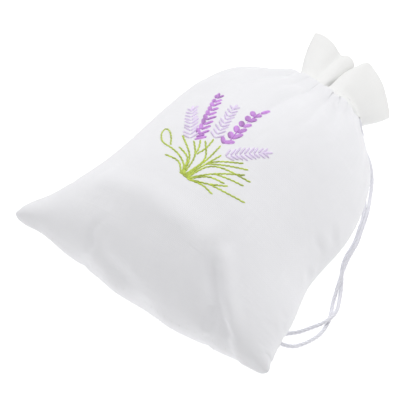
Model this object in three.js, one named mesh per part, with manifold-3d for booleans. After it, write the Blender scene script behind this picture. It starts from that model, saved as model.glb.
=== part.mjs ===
// Lavender sachet: a filled cotton drawstring pouch lying on its back.
// Millimetres, +Z up. X runs across the pouch, +Y from the bottom seam to the frill.

import * as THREE from 'three';
import { mergeVertices } from 'three/addons/utils/BufferGeometryUtils.js';
import Module from 'manifold-3d';

// Pouch, measured from the bottom seam along Y
const POUCH_LENGTH = 99;
const CORNER_HALF_WIDTH = 51;
const MIDDLE_HALF_WIDTH = 41;
const MIDDLE_Y = 50;
const NECK_HALF_WIDTH = 15.5;
const NECK_HALF_HEIGHT = 7.5;
const FRONT_CROWN = 31;
const BACK_CROWN = 25;
const SEAM_HEIGHT = 20;
const NECK_HEIGHT = 19;
const END_ROUND = 34;
const BOTTOM_BULGE = 3.2;
const LEFT_EAR_BLUNT = 3;
const RIGHT_EAR_BLUNT = 5.5;
const EAR_BLUNT_LENGTH = 14;
const CORNER_POWER = 6;
const TABLE_ROUND = 2.5;

// Curves of the pouch: how sharply it draws in to the neck, and its section at the middle and the neck
const GATHER_POWER = 2.6;
const DOME_POWER = 2.2;
const DOME_ROUND = 0.75;
const NECK_POWER = 8;
const NECK_ROUND = 0.5;

// Relief of the filled front: a ridge along its bottom end, a fold from there to the right corner
// with a valley on its left, and a fuller left shoulder. Places are on the front panel.
const RIDGE_HEIGHT = 1.5;
const RIDGE_PLACE = new THREE.Vector2(-6, 17);
const RIDGE_HALF_LENGTH = 27;
const RIDGE_REACH = 4.5;
const FOLD_TOP = new THREE.Vector2(18.6, 18.4);
const FOLD_FOOT = new THREE.Vector2(39.5, 0.7);
const FOLD_HEIGHT = 1.2;
const FOLD_DEPTH = 2.8;
const FOLD_OFFSET = 3.5;
const FOLD_STEEP = 4;
const FOLD_BROAD = 9;
const FOLD_FADE = 0.3;
const SHOULDER_SWELL = 1.5;
const SHOULDER_PLACE = new THREE.Vector2(-27.5, 79);
const SHOULDER_REACH = 12;
const RELIEF_EDGE = 4;
const RELIEF_EDGE_POWER = 8;
const END_SLOPE = 0.8;
const RIGHT_FLANK_SWELL = 2.4;
const RIGHT_FLANK_PLACE = 18;
const RIGHT_FLANK_REACH = 12;
const RIGHT_FLANK_POWER = 4;

// Cloth and the gaps between neighbouring pieces
const CLOTH = 0.8;
const CLEARANCE = 0.3;

// Neck: casing, stitch rows, frill and the gap between its two facings
const CASING_WIDTH = 3.2;
const STITCH_DIAMETER = 0.5;
const FRILL_LENGTH = 17;
const FRILL_CORNER_CUT = 2.5;
const FRILL_FLARE_POWER = 0.8;
const FRILL_PARTED = 0.75;
const MOUTH_HALF_WIDTH = 17.5;
const MOUTH_SHIFT = -0.7;
const MOUTH_TILT = 8.9;
const MOUTH_BOW = 1.5;
const MOUTH_GAP = 0.6;
const SLIT_NOTCH = 1;
const SLIT_SAG = 3;
const SLIT_HALF_WIDTH = 4.5;
const LEFT_LOBE_RISE = 7;
const LEFT_LOBE_REACH = 9;
const RIGHT_LOBE_RISE = 7.5;
const RIGHT_LOBE_REACH = 17.5;
const FACING_RISE_SHARE = 0.85;
const FACING_HALF_WIDTH = 14;

// Drawstring
const CORD_DIAMETER = 1.5;
const CORD_SLACK = 0.35;
const CORD_TURN_X = -8;
const CORD_EXIT_X = 12;
const KNOT_LENGTH = 7;
const KNOT_WIDTH = 6;
const KNOT_HEIGHT = 4.6;
const TABLE_GAP = 0.1;

// Fill, which stays off the seams
const FILL_EDGE = 0.5;
const FILL_SEAM_GAP = 3.5;
const FILL_CLEARANCE = 0.8;
const FILL_NECK_GAP = 6;

// Embroidery: threads lie on the front panel, fanned out from the tie of the bunch
const TIE = new THREE.Vector2(-1, 27);
const STEM_WIDTH = 0.9;
const STEM_THICKNESS = 0.5;
const STEM_BEND = 0.06;
const STEM_LAYER = 0.01;
const THREAD_EDGE = 0.4;
const TIE_RADIUS = 1.6;
const TIE_FLATNESS = 0.5;
const SPIKE_HALF_WIDTH = 2.1;
const SPIKE_THICKNESS = 0.9;
const SPIKE_TAPER = 0.55;
const FLORET_PITCH = 2.8;
const FLORET_WAIST = 0.55;
const SEAM_THREAD_DIAMETER = 0.6;

// Stems of the fan as [direction in degrees from +X, length]
const STEMS = [
  [-2, 10], [14, 19.5], [22, 13], [29, 17.5], [36.5, 24], [43, 18], [49.5, 19.5], [56, 18], [75, 13],
  [87, 16], [97, 16], [106, 14.5], [113, 14], [121, 13.5], [133, 15.5], [142, 13], [165, 12],
];

// Stem that turns back on itself, as points on the front panel
const LOOPED_STEM = [
  [-9, 32.4], [-13, 34], [-16.8, 34.8], [-19.8, 37], [-21.9, 40.4], [-21.3, 41.8], [-19, 40.7], [-16.3, 38],
  [-14.8, 35.9],
];

// Flower spikes as [name, colour, foot, tip]
const VIVID_PURPLE = 0xa56cc4;
const PALE_LILAC = 0xcdbde0;
const SPIKES = [
  ['vivid_spike_left', VIVID_PURPLE, [-7.4, 41], [-16, 61.5]],
  ['vivid_spike_right', VIVID_PURPLE, [0.6, 45], [2.7, 63.5]],
  ['pale_spike_left', PALE_LILAC, [-12.7, 41.5], [-21, 53.5]],
  ['pale_spike_middle', PALE_LILAC, [-3.7, 45], [-6.5, 59]],
  ['pale_spike_right', PALE_LILAC, [4.3, 41.5], [13.2, 51.5]],
];

// Free run of the two cord tails, which twist round each other on the way to the table and right corner
const FRONT_TAIL_ROUTE = [
  [14.4, 101.4, 20], [15.5, 100.9, 17.6], [16, 100.4, 14.9], [17.3, 99.6, 12.4], [19.6, 98.4, 10.9],
  [22.2, 97, 10], [24.8, 95.2, 8.3], [27.4, 92.6, 5.2], [29.8, 88.6, 3], [33, 82.3, 2.2],
  [35.8, 74.8, 2.1], [37.6, 69.6, 2.1], [38.7, 64.1, 2.1], [39.8, 60, 2.3], [41.1, 56.2, 2.5],
  [42.4, 52.7, 2.3], [43.6, 49.5, 1.6], [44.9, 46, 0.8], [46.7, 42.4, 0.7], [48.2, 39, 0.7],
  [49, 35.6, 0.7], [49.1, 32.7, 0.7], [48.3, 29.3, 0.7], [47, 26.2, 0.7], [45, 23.4, 0.7], [41.4, 21.2, 1.6],
];
const BACK_TAIL_ROUTE = [
  [14.4, 101.9, 15.8], [15.5, 102.2, 13.5], [15.9, 102, 10.8], [17, 101, 8.2], [19.2, 98.9, 6],
  [22, 96, 4], [25, 92.2, 2.2], [28.2, 87.6, 1.1], [31.6, 82.5, 0.7], [34.6, 75, 0.7],
  [36.4, 69.9, 0.7], [37.4, 64.3, 0.7], [38.6, 60.4, 0.7], [40.4, 57.1, 0.7], [42.5, 54.1, 0.7],
  [44.5, 50.9, 0.7], [46.4, 47.4, 1.2], [48.3, 43.5, 2.2], [48.9, 40.2, 2.7], [48.4, 37.4, 2.6],
  [47.3, 35.4, 1.8], [45.7, 33.4, 1], [43.2, 29.2, 0.7], [40.6, 25.8, 1.2],
];
const KNOT_PLACE = new THREE.Vector3(37.4, 21.4, KNOT_HEIGHT / 2 + TABLE_GAP);

// How finely the surfaces are divided
const PANEL_COLUMNS = 28;
const PANEL_ROWS = 20;
const NECK_COLUMNS = 24;
const FRILL_ROWS = 6;
const CORD_SIDES = 8;
const CORD_STEPS = 50;
const TURN_STEPS = 12;
const KNOT_SEGMENTS = 14;
const KNOT_RINGS = 10;
const TIE_SEGMENTS = 10;
const TIE_RINGS = 6;
const ROW_POWER = 1.6;
const THREAD_SIDES = 4;
const THREAD_STEPS = 20;
const LOOPED_STEM_STEPS = 18;

// Places along the neck that follow from the sizes above
const STITCH_ROOM = STITCH_DIAMETER + 2 * CLEARANCE;
const CASING_START = POUCH_LENGTH + STITCH_ROOM;
const CASING_END = CASING_START + CASING_WIDTH;
const CASING_MIDDLE = (CASING_START + CASING_END) / 2;
const FRILL_START = CASING_END + STITCH_ROOM;
const CORD_OFFSET = MOUTH_GAP / 2 + CLOTH + CORD_SLACK + CORD_DIAMETER / 2;
const OUTER_LIFT = CLEARANCE / 2 + CLOTH;
const LAYER_STACK = MOUTH_GAP / 2 + 2 * CLOTH + CLEARANCE;

const COTTON = { color: 0xeceef1, roughness: 0.95, metalness: 0 };
const CORD_COTTON = { color: 0xe4e6ee, roughness: 0.9, metalness: 0 };
const SEWING_THREAD = { color: 0xf2f2f2, roughness: 0.7, metalness: 0 };
const DRIED_LAVENDER = { color: 0x7d7392, roughness: 1, metalness: 0 };
const STEM_GREEN = { color: 0x9bbf3b, roughness: 0.55, metalness: 0 };

const wasm = await Module();
wasm.setup();

const sachet = new THREE.Group();
const cordMeshes = new Set();

function addPiece(name, geometry, look) {
  const mesh = new THREE.Mesh(geometry, new THREE.MeshStandardMaterial(look));
  mesh.name = name;
  sachet.add(mesh);
  return mesh;
}

// Surfaces of the pouch. across runs from -1 at the left seam to 1 at the right one.

function shoulder(y) {
  return THREE.MathUtils.clamp((y - MIDDLE_Y) / (POUCH_LENGTH - MIDDLE_Y), 0, 1);
}

function pouchHalfWidth(y) {
  const flare = Math.max(0, 1 - y / MIDDLE_Y) ** 2;
  const gather = shoulder(y) ** GATHER_POWER;
  const ears = (CORNER_HALF_WIDTH - MIDDLE_HALF_WIDTH) * flare;
  return MIDDLE_HALF_WIDTH + ears + (NECK_HALF_WIDTH - MIDDLE_HALF_WIDTH) * gather;
}

function crownHeight(crown, y) {
  const end = Math.sqrt(1 - Math.max(0, 1 - y / END_ROUND) ** 2);
  return end * (crown + (NECK_HALF_HEIGHT - crown) * shoulder(y) ** GATHER_POWER);
}

// Section of the pouch: a soft dome that squares up into the flat gathered neck
function sectionHeight(across, y) {
  const square = shoulder(y) ** 4;
  const power = THREE.MathUtils.lerp(DOME_POWER, NECK_POWER, square);
  const round = THREE.MathUtils.lerp(DOME_ROUND, NECK_ROUND, square);
  return Math.max(0, 1 - Math.abs(across) ** power) ** round;
}

function seamHeight(y) {
  return SEAM_HEIGHT + (NECK_HEIGHT - SEAM_HEIGHT) * Math.min(1, y / POUCH_LENGTH) ** 2;
}

// How far the bottom end lies off a straight line: it bulges in the middle, and its corners are blunt
function endShift(across, y) {
  const bulge = BOTTOM_BULGE * (1 - across ** 2) * (1 - Math.min(1, y / POUCH_LENGTH)) ** 3;
  const blunt = across > 0 ? RIGHT_EAR_BLUNT : LEFT_EAR_BLUNT;
  return blunt * Math.abs(across) ** CORNER_POWER * Math.max(0, 1 - y / EAR_BLUNT_LENGTH) ** 2 - bulge;
}

function bell(distance, reach) {
  return Math.exp(-((distance / reach) ** 2));
}

// The right flank is fuller than the left one just above its corner
function flankShift(across, y) {
  const swell = RIGHT_FLANK_SWELL * bell(y - RIGHT_FLANK_PLACE, RIGHT_FLANK_REACH);
  return swell * Math.max(0, across) ** RIGHT_FLANK_POWER;
}

function foldRelief(x, y) {
  const along = THREE.MathUtils.clamp((FOLD_TOP.y - y) / (FOLD_TOP.y - FOLD_FOOT.y), 0, 1);
  const gap = x - THREE.MathUtils.lerp(FOLD_TOP.x, FOLD_FOOT.x, along);
  const strength = THREE.MathUtils.smoothstep(along, 0, FOLD_FADE);
  const reach = gap > -FOLD_OFFSET ? FOLD_STEEP : THREE.MathUtils.lerp(FOLD_STEEP, FOLD_BROAD, along);
  const ridge = FOLD_HEIGHT * bell(gap - FOLD_OFFSET, FOLD_STEEP);
  return strength * (ridge - FOLD_DEPTH * bell(gap + FOLD_OFFSET, reach));
}

function frontRelief(across, x, y) {
  const fromMiddle = Math.abs(x - RIDGE_PLACE.x);
  const ridgeEnds = 1 - THREE.MathUtils.smoothstep(fromMiddle, RIDGE_HALF_LENGTH / 2, RIDGE_HALF_LENGTH);
  const ridge = RIDGE_HEIGHT * ridgeEnds * bell(y - RIDGE_PLACE.y, RIDGE_REACH);
  const swell = SHOULDER_SWELL * bell(SHOULDER_PLACE.distanceTo(new THREE.Vector2(x, y)), SHOULDER_REACH);
  const edge = THREE.MathUtils.smoothstep(y, 0, RELIEF_EDGE) * (1 - across ** RELIEF_EDGE_POWER);
  return edge * (ridge + foldRelief(x, y) + swell);
}

// Height of cloth that settles on a flat floor through a soft bend
function settle(z, floor) {
  const above = z - floor;
  const sunk = Math.max(0, above + TABLE_ROUND);
  return above > TABLE_ROUND ? z : floor + sunk ** 2 / (4 * TABLE_ROUND);
}

// A point of the pouch: side 1 is the front and -1 the back, which is flat where it lies on the table
function pouchPoint(side, across, y, inset, lift, floor = inset) {
  const toEnd = Math.max(0, 1 - y / END_ROUND);
  const x = across * (pouchHalfWidth(y) - inset) + flankShift(across, y);
  const crown = side > 0 ? FRONT_CROWN : BACK_CROWN;
  const height = lift + crownHeight(crown, y) * sectionHeight(across, y);
  const relief = side > 0 ? frontRelief(across, x, y) : 0;
  const slope = END_SLOPE * toEnd;
  const z = seamHeight(y) + side * height + relief * Math.sqrt(1 - slope ** 2);
  return new THREE.Vector3(x, y + endShift(across, y) + inset * toEnd - relief * slope, settle(z, floor));
}

// Closed solid between two grids of points, given as functions of column and row from 0 to 1
function sheetSolid(outer, inner, columns, rows) {
  const points = [];
  const index = [];
  const grid = (surface) => {
    const first = points.length / 3;
    for (let row = 0; row <= rows; row += 1) {
      for (let column = 0; column <= columns; column += 1) {
        points.push(...surface(column / columns, row / rows).toArray());
      }
    }
    return (column, row) => first + row * (columns + 1) + column;
  };
  const top = grid(outer);
  const base = grid(inner);
  const quad = (a, b, c, d) => index.push(a, b, d, b, c, d);
  for (let row = 0; row < rows; row += 1) {
    for (let column = 0; column < columns; column += 1) {
      quad(top(column, row), top(column + 1, row), top(column + 1, row + 1), top(column, row + 1));
      quad(base(column, row), base(column, row + 1), base(column + 1, row + 1), base(column + 1, row));
    }
  }
  for (let column = 0; column < columns; column += 1) {
    quad(base(column, 0), base(column + 1, 0), top(column + 1, 0), top(column, 0));
    quad(top(column, rows), top(column + 1, rows), base(column + 1, rows), base(column, rows));
  }
  for (let row = 0; row < rows; row += 1) {
    quad(top(0, row), top(0, row + 1), base(0, row + 1), base(0, row));
    quad(base(columns, row), base(columns, row + 1), top(columns, row + 1), top(columns, row));
  }
  const geometry = new THREE.BufferGeometry();
  geometry.setAttribute('position', new THREE.Float32BufferAttribute(points, 3));
  geometry.setIndex(index);
  return geometry;
}

// Tube along a list of points, with closed ends
function tube(points, diameter, sides, steps) {
  const section = new THREE.Shape();
  for (let side = 0; side < sides; side += 1) {
    const angle = (2 * Math.PI * side) / sides;
    const corner = new THREE.Vector2(Math.cos(angle), Math.sin(angle)).multiplyScalar(diameter / 2);
    if (side === 0) section.moveTo(corner.x, corner.y);
    else section.lineTo(corner.x, corner.y);
  }
  const path = new THREE.CatmullRomCurve3(points, false, 'centripetal');
  const options = { steps, bevelEnabled: false, extrudePath: path, curveSegments: 1 };
  return new THREE.ExtrudeGeometry(section, options);
}

// Columns run from left to right on the front and back again on the back, so that faces point out
function acrossFrom(side, column, low = -1, high = 1) {
  return side > 0 ? THREE.MathUtils.lerp(low, high, column) : THREE.MathUtils.lerp(high, low, column);
}

// Rows lie closer together near the bottom seam, where the pouch turns over
function rowToY(row, end) {
  return end * row ** ROW_POWER;
}

function panel(side) {
  const surface = (inset, lift) => (column, row) =>
    pouchPoint(side, acrossFrom(side, column), rowToY(row, POUCH_LENGTH), inset, lift);
  return sheetSolid(surface(0, OUTER_LIFT), surface(CLOTH, CLEARANCE / 2), PANEL_COLUMNS, PANEL_ROWS);
}

function lavenderFill() {
  const top = POUCH_LENGTH - FILL_NECK_GAP;
  const floor = CLOTH + FILL_CLEARANCE;
  const lift = CLEARANCE / 2 - FILL_CLEARANCE;
  const surface = (side) => (column, row) => {
    const across = acrossFrom(1, column);
    const y = rowToY(row, top);
    const skin = pouchPoint(side, across, y, FILL_SEAM_GAP, lift, floor);
    const middle = seamHeight(y);
    const depth = Math.max(FILL_EDGE / 2, side * (skin.z - middle));
    return skin.setZ(middle + side * depth);
  };
  return sheetSolid(surface(1), surface(-1), PANEL_COLUMNS, PANEL_ROWS);
}

// Neck: the casing carries on from the panels, open at the right where the cord comes out

function neckHeight(across) {
  return OUTER_LIFT + NECK_HALF_HEIGHT * sectionHeight(across, POUCH_LENGTH);
}

function casing(side) {
  const exit = CORD_EXIT_X / NECK_HALF_WIDTH;
  const surface = (inset) => (column, row) => {
    const across = acrossFrom(side, column, -1, exit);
    const x = across * (NECK_HALF_WIDTH - inset);
    const y = THREE.MathUtils.lerp(CASING_START, CASING_END, row);
    return new THREE.Vector3(x, y, NECK_HEIGHT + side * (neckHeight(across) - inset));
  };
  return sheetSolid(surface(0), surface(CLOTH), NECK_COLUMNS, 1);
}

// Frill: one flat tube at the neck that parts into two lobes with a notch between them

function edgeRound(across) {
  return Math.max(0, 1 - Math.abs(across) ** NECK_POWER) ** NECK_ROUND;
}

// How far the front stands up beside the slit, higher in the right lobe
function lobeRise(across) {
  const fromSlit = Math.abs(across) * MOUTH_HALF_WIDTH;
  const left = LEFT_LOBE_RISE * Math.max(0, 1 - fromSlit / LEFT_LOBE_REACH);
  const right = RIGHT_LOBE_RISE * Math.max(0, 1 - fromSlit / RIGHT_LOBE_REACH);
  return (across > 0 ? right : left) * THREE.MathUtils.smoothstep(fromSlit, 0, SLIT_HALF_WIDTH);
}

function lobeHeight(side, across, riseShare) {
  const puff = side > 0 ? riseShare * lobeRise(across) : 0;
  return OUTER_LIFT + (LAYER_STACK - OUTER_LIFT + puff) * edgeRound(across);
}

function slitShare(across) {
  return bell(across * MOUTH_HALF_WIDTH, SLIT_HALF_WIDTH);
}

// Middle of the flat tube: its mouth is tilted, high at the left and low at the right, and sags at the slit
function frillMiddle(across, rise, inset) {
  const flare = rise ** FRILL_FLARE_POWER;
  const halfWidth = THREE.MathUtils.lerp(NECK_HALF_WIDTH, MOUTH_HALF_WIDTH, flare) - inset;
  const reach = FRILL_LENGTH - SLIT_NOTCH * slitShare(across) - FRILL_CORNER_CUT * across ** CORNER_POWER;
  const mouth = MOUTH_BOW * (1 - across ** 2) - MOUTH_TILT * across - SLIT_SAG * slitShare(across);
  const x = across * halfWidth + MOUTH_SHIFT * rise;
  return new THREE.Vector3(x, FRILL_START + reach * rise, NECK_HEIGHT + mouth * rise);
}

function frillPart(rise) {
  return THREE.MathUtils.smoothstep(rise, 0, FRILL_PARTED);
}

function frill(side) {
  const surface = (inset) => (column, rise) => {
    const across = acrossFrom(side, column);
    const height = THREE.MathUtils.lerp(neckHeight(across), lobeHeight(side, across, 1), frillPart(rise));
    const place = frillMiddle(across, rise, inset);
    return place.setZ(place.z + side * (height - inset));
  };
  return sheetSolid(surface(0), surface(CLOTH), NECK_COLUMNS, FRILL_ROWS);
}

// Facing: the cloth turned in at the mouth, down behind the cord, which it leaves room for
function facing(side) {
  const depth = CLOTH + CLEARANCE;
  const cordTurn = (CORD_TURN_X + CLEARANCE) / NECK_HALF_WIDTH;
  const cordExit = CORD_EXIT_X / NECK_HALF_WIDTH;
  const mouthReach = FACING_HALF_WIDTH / (MOUTH_HALF_WIDTH - depth);
  const flat = MOUTH_GAP / 2 + CLOTH;
  const casingShare = (FRILL_START - CASING_START) / (FRILL_START + FRILL_LENGTH - CASING_START);
  const surface = (inset) => (column, row) => {
    const rise = Math.max(0, (row - casingShare) / (1 - casingShare));
    const part = frillPart(rise);
    const left = THREE.MathUtils.lerp(cordTurn, -mouthReach, part);
    const right = THREE.MathUtils.lerp(cordExit, mouthReach, part);
    // The middle column follows the slit
    const share = acrossFrom(side, column);
    const across = share * (share > 0 ? right : -left);
    const place = frillMiddle(across, rise, depth);
    const height = THREE.MathUtils.lerp(flat, lobeHeight(side, across, FACING_RISE_SHARE) - depth, part);
    if (row < casingShare) place.setY(THREE.MathUtils.lerp(CASING_START, FRILL_START, row / casingShare));
    return place.setZ(place.z + side * (height - inset));
  };
  return sheetSolid(surface(0), surface(CLOTH), NECK_COLUMNS, FRILL_ROWS + 2);
}

// Threads: in the groove of each seam, and in the rows below and above the casing

function seamPoint(across, y) {
  const x = across * pouchHalfWidth(y) + flankShift(across, y);
  return new THREE.Vector3(x, y + endShift(across, y), seamHeight(y));
}

function sideSeamThread(side) {
  const points = [];
  for (let step = 0; step <= THREAD_STEPS; step += 1) {
    points.push(seamPoint(side, rowToY(step / THREAD_STEPS, POUCH_LENGTH)));
  }
  return tube(points, SEAM_THREAD_DIAMETER, THREAD_SIDES, THREAD_STEPS);
}

function bottomSeamThread() {
  const points = [];
  const cornerGap = SEAM_THREAD_DIAMETER + CLEARANCE;
  const reach = 1 - cornerGap / CORNER_HALF_WIDTH;
  for (let step = 0; step <= THREAD_STEPS; step += 1) {
    points.push(seamPoint(THREE.MathUtils.lerp(-reach, reach, step / THREAD_STEPS), 0));
  }
  return tube(points, SEAM_THREAD_DIAMETER, THREAD_SIDES, THREAD_STEPS);
}

function stitchRow(side, y) {
  const points = [];
  const reach = CORD_EXIT_X / NECK_HALF_WIDTH;
  for (let step = 0; step <= THREAD_STEPS; step += 1) {
    const across = THREE.MathUtils.lerp(-reach, reach, step / THREAD_STEPS);
    const height = neckHeight(across) - CLOTH / 2;
    points.push(new THREE.Vector3(across * NECK_HALF_WIDTH, y, NECK_HEIGHT + side * height));
  }
  return tube(points, STITCH_DIAMETER, THREAD_SIDES, THREAD_STEPS);
}

// Drawstring: a turn inside the casing's left end, two tails out of its right end, and their knot

function drawstringTurn() {
  const points = [];
  for (let step = 0; step <= TURN_STEPS; step += 1) {
    const angle = Math.PI / 2 + (Math.PI * step) / TURN_STEPS;
    const x = CORD_TURN_X + CORD_OFFSET * Math.cos(angle);
    points.push(new THREE.Vector3(x, CASING_MIDDLE, NECK_HEIGHT + CORD_OFFSET * Math.sin(angle)));
  }
  return tube(points, CORD_DIAMETER, CORD_SIDES, TURN_STEPS);
}

function drawstringTail(side, route) {
  const height = NECK_HEIGHT + side * CORD_OFFSET;
  const start = new THREE.Vector3(CORD_TURN_X + CLEARANCE, CASING_MIDDLE, height);
  const middle = new THREE.Vector3((CORD_TURN_X + CORD_EXIT_X) / 2, CASING_MIDDLE, height);
  const exit = new THREE.Vector3(CORD_EXIT_X, CASING_MIDDLE, height);
  const free = route.map((point) => new THREE.Vector3(...point));
  return tube([start, middle, exit, ...free], CORD_DIAMETER, CORD_SIDES, CORD_STEPS);
}

function endKnot() {
  const knot = new THREE.SphereGeometry(0.5, KNOT_SEGMENTS, KNOT_RINGS);
  return knot.scale(KNOT_LENGTH, KNOT_WIDTH, KNOT_HEIGHT);
}

// Embroidery on the front panel

function frontPoint(x, y, rise) {
  const at = (px, py) => pouchPoint(1, px / pouchHalfWidth(py), py, 0, OUTER_LIFT);
  const small = 0.5;
  const alongX = at(x + small, y).sub(at(x - small, y));
  const alongY = at(x, y + small).sub(at(x, y - small));
  return at(x, y).addScaledVector(alongX.cross(alongY).normalize(), rise);
}

// A thread of satin stitch along a path on the panel; width and crown change along it
function satin(path, halfWidth, thickness, columns, rows, base) {
  const surface = (top) => (column, row) => {
    const at = path.getPointAt(row);
    const along = path.getTangentAt(row);
    const side = 2 * column - 1;
    const reach = side * halfWidth(row);
    const crown = THREAD_EDGE + (1 - THREAD_EDGE) * Math.sqrt(1 - side ** 2);
    const rise = base + (top ? thickness * crown : 0);
    return frontPoint(at.x + along.y * reach, at.y - along.x * reach, rise);
  };
  return sheetSolid(surface(true), surface(false), columns, rows);
}

function toSolid(geometry) {
  const bare = geometry.clone();
  bare.deleteAttribute('normal');
  bare.deleteAttribute('uv');
  const merged = mergeVertices(bare, 1e-4);
  const vertProperties = new Float32Array(merged.attributes.position.array);
  const triVerts = new Uint32Array(merged.index.array);
  return new wasm.Manifold(new wasm.Mesh({ numProp: 3, vertProperties, triVerts }));
}

function toGeometry(solid) {
  const { vertProperties, triVerts } = solid.getMesh();
  const geometry = new THREE.BufferGeometry();
  geometry.setAttribute('position', new THREE.BufferAttribute(new Float32Array(vertProperties), 3));
  geometry.setIndex(new THREE.BufferAttribute(new Uint32Array(triVerts), 1));
  return geometry;
}

// All the stems of the fan, joined by the wrap that ties them
function stemBunch() {
  const wrap = new THREE.SphereGeometry(TIE_RADIUS, TIE_SEGMENTS, TIE_RINGS);
  wrap.scale(1, 1, TIE_FLATNESS);
  const seat = frontPoint(TIE.x, TIE.y, CLEARANCE + TIE_RADIUS * TIE_FLATNESS);
  wrap.translate(seat.x, seat.y, seat.z);
  let bunch = toSolid(wrap);
  STEMS.forEach(([direction, length], order) => {
    const angle = THREE.MathUtils.degToRad(direction);
    const along = new THREE.Vector2(Math.cos(angle), Math.sin(angle));
    const bow = length * STEM_BEND * (order % 2 ? 1 : -1);
    const middle = TIE.clone().addScaledVector(along, length / 2);
    middle.add(new THREE.Vector2(along.y, -along.x).multiplyScalar(bow));
    const path = new THREE.QuadraticBezierCurve(TIE, middle, TIE.clone().addScaledVector(along, length));
    const layer = CLEARANCE + STEM_LAYER * order;
    bunch = bunch.add(toSolid(satin(path, () => STEM_WIDTH / 2, STEM_THICKNESS, 2, 3, layer)));
  });
  return toGeometry(bunch);
}

function loopedStem() {
  const path = new THREE.SplineCurve(LOOPED_STEM.map((point) => new THREE.Vector2(...point)));
  return satin(path, () => STEM_WIDTH / 2, STEM_THICKNESS, 2, LOOPED_STEM_STEPS, CLEARANCE);
}

// A flower spike: whorls of florets that swell and draw in, smaller towards the tip
function flowerSpike(foot, tip) {
  const path = new THREE.LineCurve(new THREE.Vector2(...foot), new THREE.Vector2(...tip));
  const whorls = Math.round(path.getLength() / FLORET_PITCH);
  const halfWidth = (share) => {
    const swell = FLORET_WAIST + (1 - FLORET_WAIST) * Math.abs(Math.sin(Math.PI * whorls * share));
    return SPIKE_HALF_WIDTH * swell * (1 - SPIKE_TAPER * share);
  };
  return satin(path, halfWidth, SPIKE_THICKNESS, 4, 2 * whorls, CLEARANCE);
}

// The parts

addPiece('front_panel', panel(1), COTTON);
addPiece('back_panel', panel(-1), COTTON);
addPiece('lavender_fill', lavenderFill(), DRIED_LAVENDER);

addPiece('front_casing', casing(1), COTTON);
addPiece('back_casing', casing(-1), COTTON);
addPiece('front_frill', frill(1), COTTON);
addPiece('back_frill', frill(-1), COTTON);
addPiece('front_facing', facing(1), COTTON);
addPiece('back_facing', facing(-1), COTTON);

addPiece('left_seam_thread', sideSeamThread(-1), SEWING_THREAD);
addPiece('right_seam_thread', sideSeamThread(1), SEWING_THREAD);
addPiece('bottom_seam_thread', bottomSeamThread(), SEWING_THREAD);
const LOWER_ROW = CASING_START - STITCH_ROOM / 2;
const UPPER_ROW = CASING_END + STITCH_ROOM / 2;
addPiece('front_lower_stitch', stitchRow(1, LOWER_ROW), SEWING_THREAD);
addPiece('front_upper_stitch', stitchRow(1, UPPER_ROW), SEWING_THREAD);
addPiece('back_lower_stitch', stitchRow(-1, LOWER_ROW), SEWING_THREAD);
addPiece('back_upper_stitch', stitchRow(-1, UPPER_ROW), SEWING_THREAD);

addPiece('drawstring_turn', drawstringTurn(), CORD_COTTON);
cordMeshes.add(addPiece('drawstring_tail_front', drawstringTail(1, FRONT_TAIL_ROUTE), CORD_COTTON));
cordMeshes.add(addPiece('drawstring_tail_back', drawstringTail(-1, BACK_TAIL_ROUTE), CORD_COTTON));
const knot = addPiece('end_knot', endKnot(), CORD_COTTON);
knot.position.copy(KNOT_PLACE);
cordMeshes.add(knot);

addPiece('stem_bunch', stemBunch(), STEM_GREEN);
addPiece('looped_stem', loopedStem(), STEM_GREEN);
for (const [name, color, foot, tip] of SPIKES) {
  addPiece(name, flowerSpike(foot, tip), { color, roughness: 0.5, metalness: 0 });
}

// The origin is on the table, below the middle of the pouch and its frill, the free cord left out
const extent = new THREE.Box3();
for (const mesh of sachet.children) {
  if (!cordMeshes.has(mesh)) extent.expandByObject(mesh);
}
const centre = extent.getCenter(new THREE.Vector3());
sachet.position.set(-centre.x, -centre.y, -extent.min.z);

export default sachet;
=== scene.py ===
import math
from typing import NamedTuple

import bpy
import numpy as np
from bpy.props import FloatProperty, FloatVectorProperty, PointerProperty
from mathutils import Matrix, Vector


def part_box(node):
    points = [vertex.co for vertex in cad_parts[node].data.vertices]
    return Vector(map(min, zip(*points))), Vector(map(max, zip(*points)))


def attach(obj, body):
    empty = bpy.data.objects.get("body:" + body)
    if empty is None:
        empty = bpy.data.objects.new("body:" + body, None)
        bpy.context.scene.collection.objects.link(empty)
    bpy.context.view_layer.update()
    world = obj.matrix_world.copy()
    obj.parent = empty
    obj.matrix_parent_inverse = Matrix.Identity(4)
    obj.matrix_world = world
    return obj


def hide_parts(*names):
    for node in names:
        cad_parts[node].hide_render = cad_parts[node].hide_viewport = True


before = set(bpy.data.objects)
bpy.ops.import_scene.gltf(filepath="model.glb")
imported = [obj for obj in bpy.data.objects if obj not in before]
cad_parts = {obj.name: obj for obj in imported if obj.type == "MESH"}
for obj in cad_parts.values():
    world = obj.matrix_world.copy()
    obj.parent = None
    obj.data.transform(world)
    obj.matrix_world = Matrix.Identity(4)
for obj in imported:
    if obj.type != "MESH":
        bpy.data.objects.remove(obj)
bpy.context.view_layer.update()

bl_info = {
    "name": "Lavender sachet",
    "version": (1, 0, 0),
    "blender": (4, 5, 0),
    "location": "3D View > Sidebar > Sachet",
    "description": "A filled cotton pouch with embroidered lavender, a gathered frill and a drawstring",
    "category": "Object",
}

# Bag frame: X across, Y from the bottom seam to the neck, Z up from the table, all in millimetres
MM = 0.001
TINY = 1e-6
BOTTOM_BULGE = 3.2
PANEL_LOW, PANEL_HIGH = (Vector(corner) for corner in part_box("front_panel"))
BAG_ORIGIN = Vector(((PANEL_LOW.x + PANEL_HIGH.x) / 2, PANEL_LOW.y + BOTTOM_BULGE * MM, 0))

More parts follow.
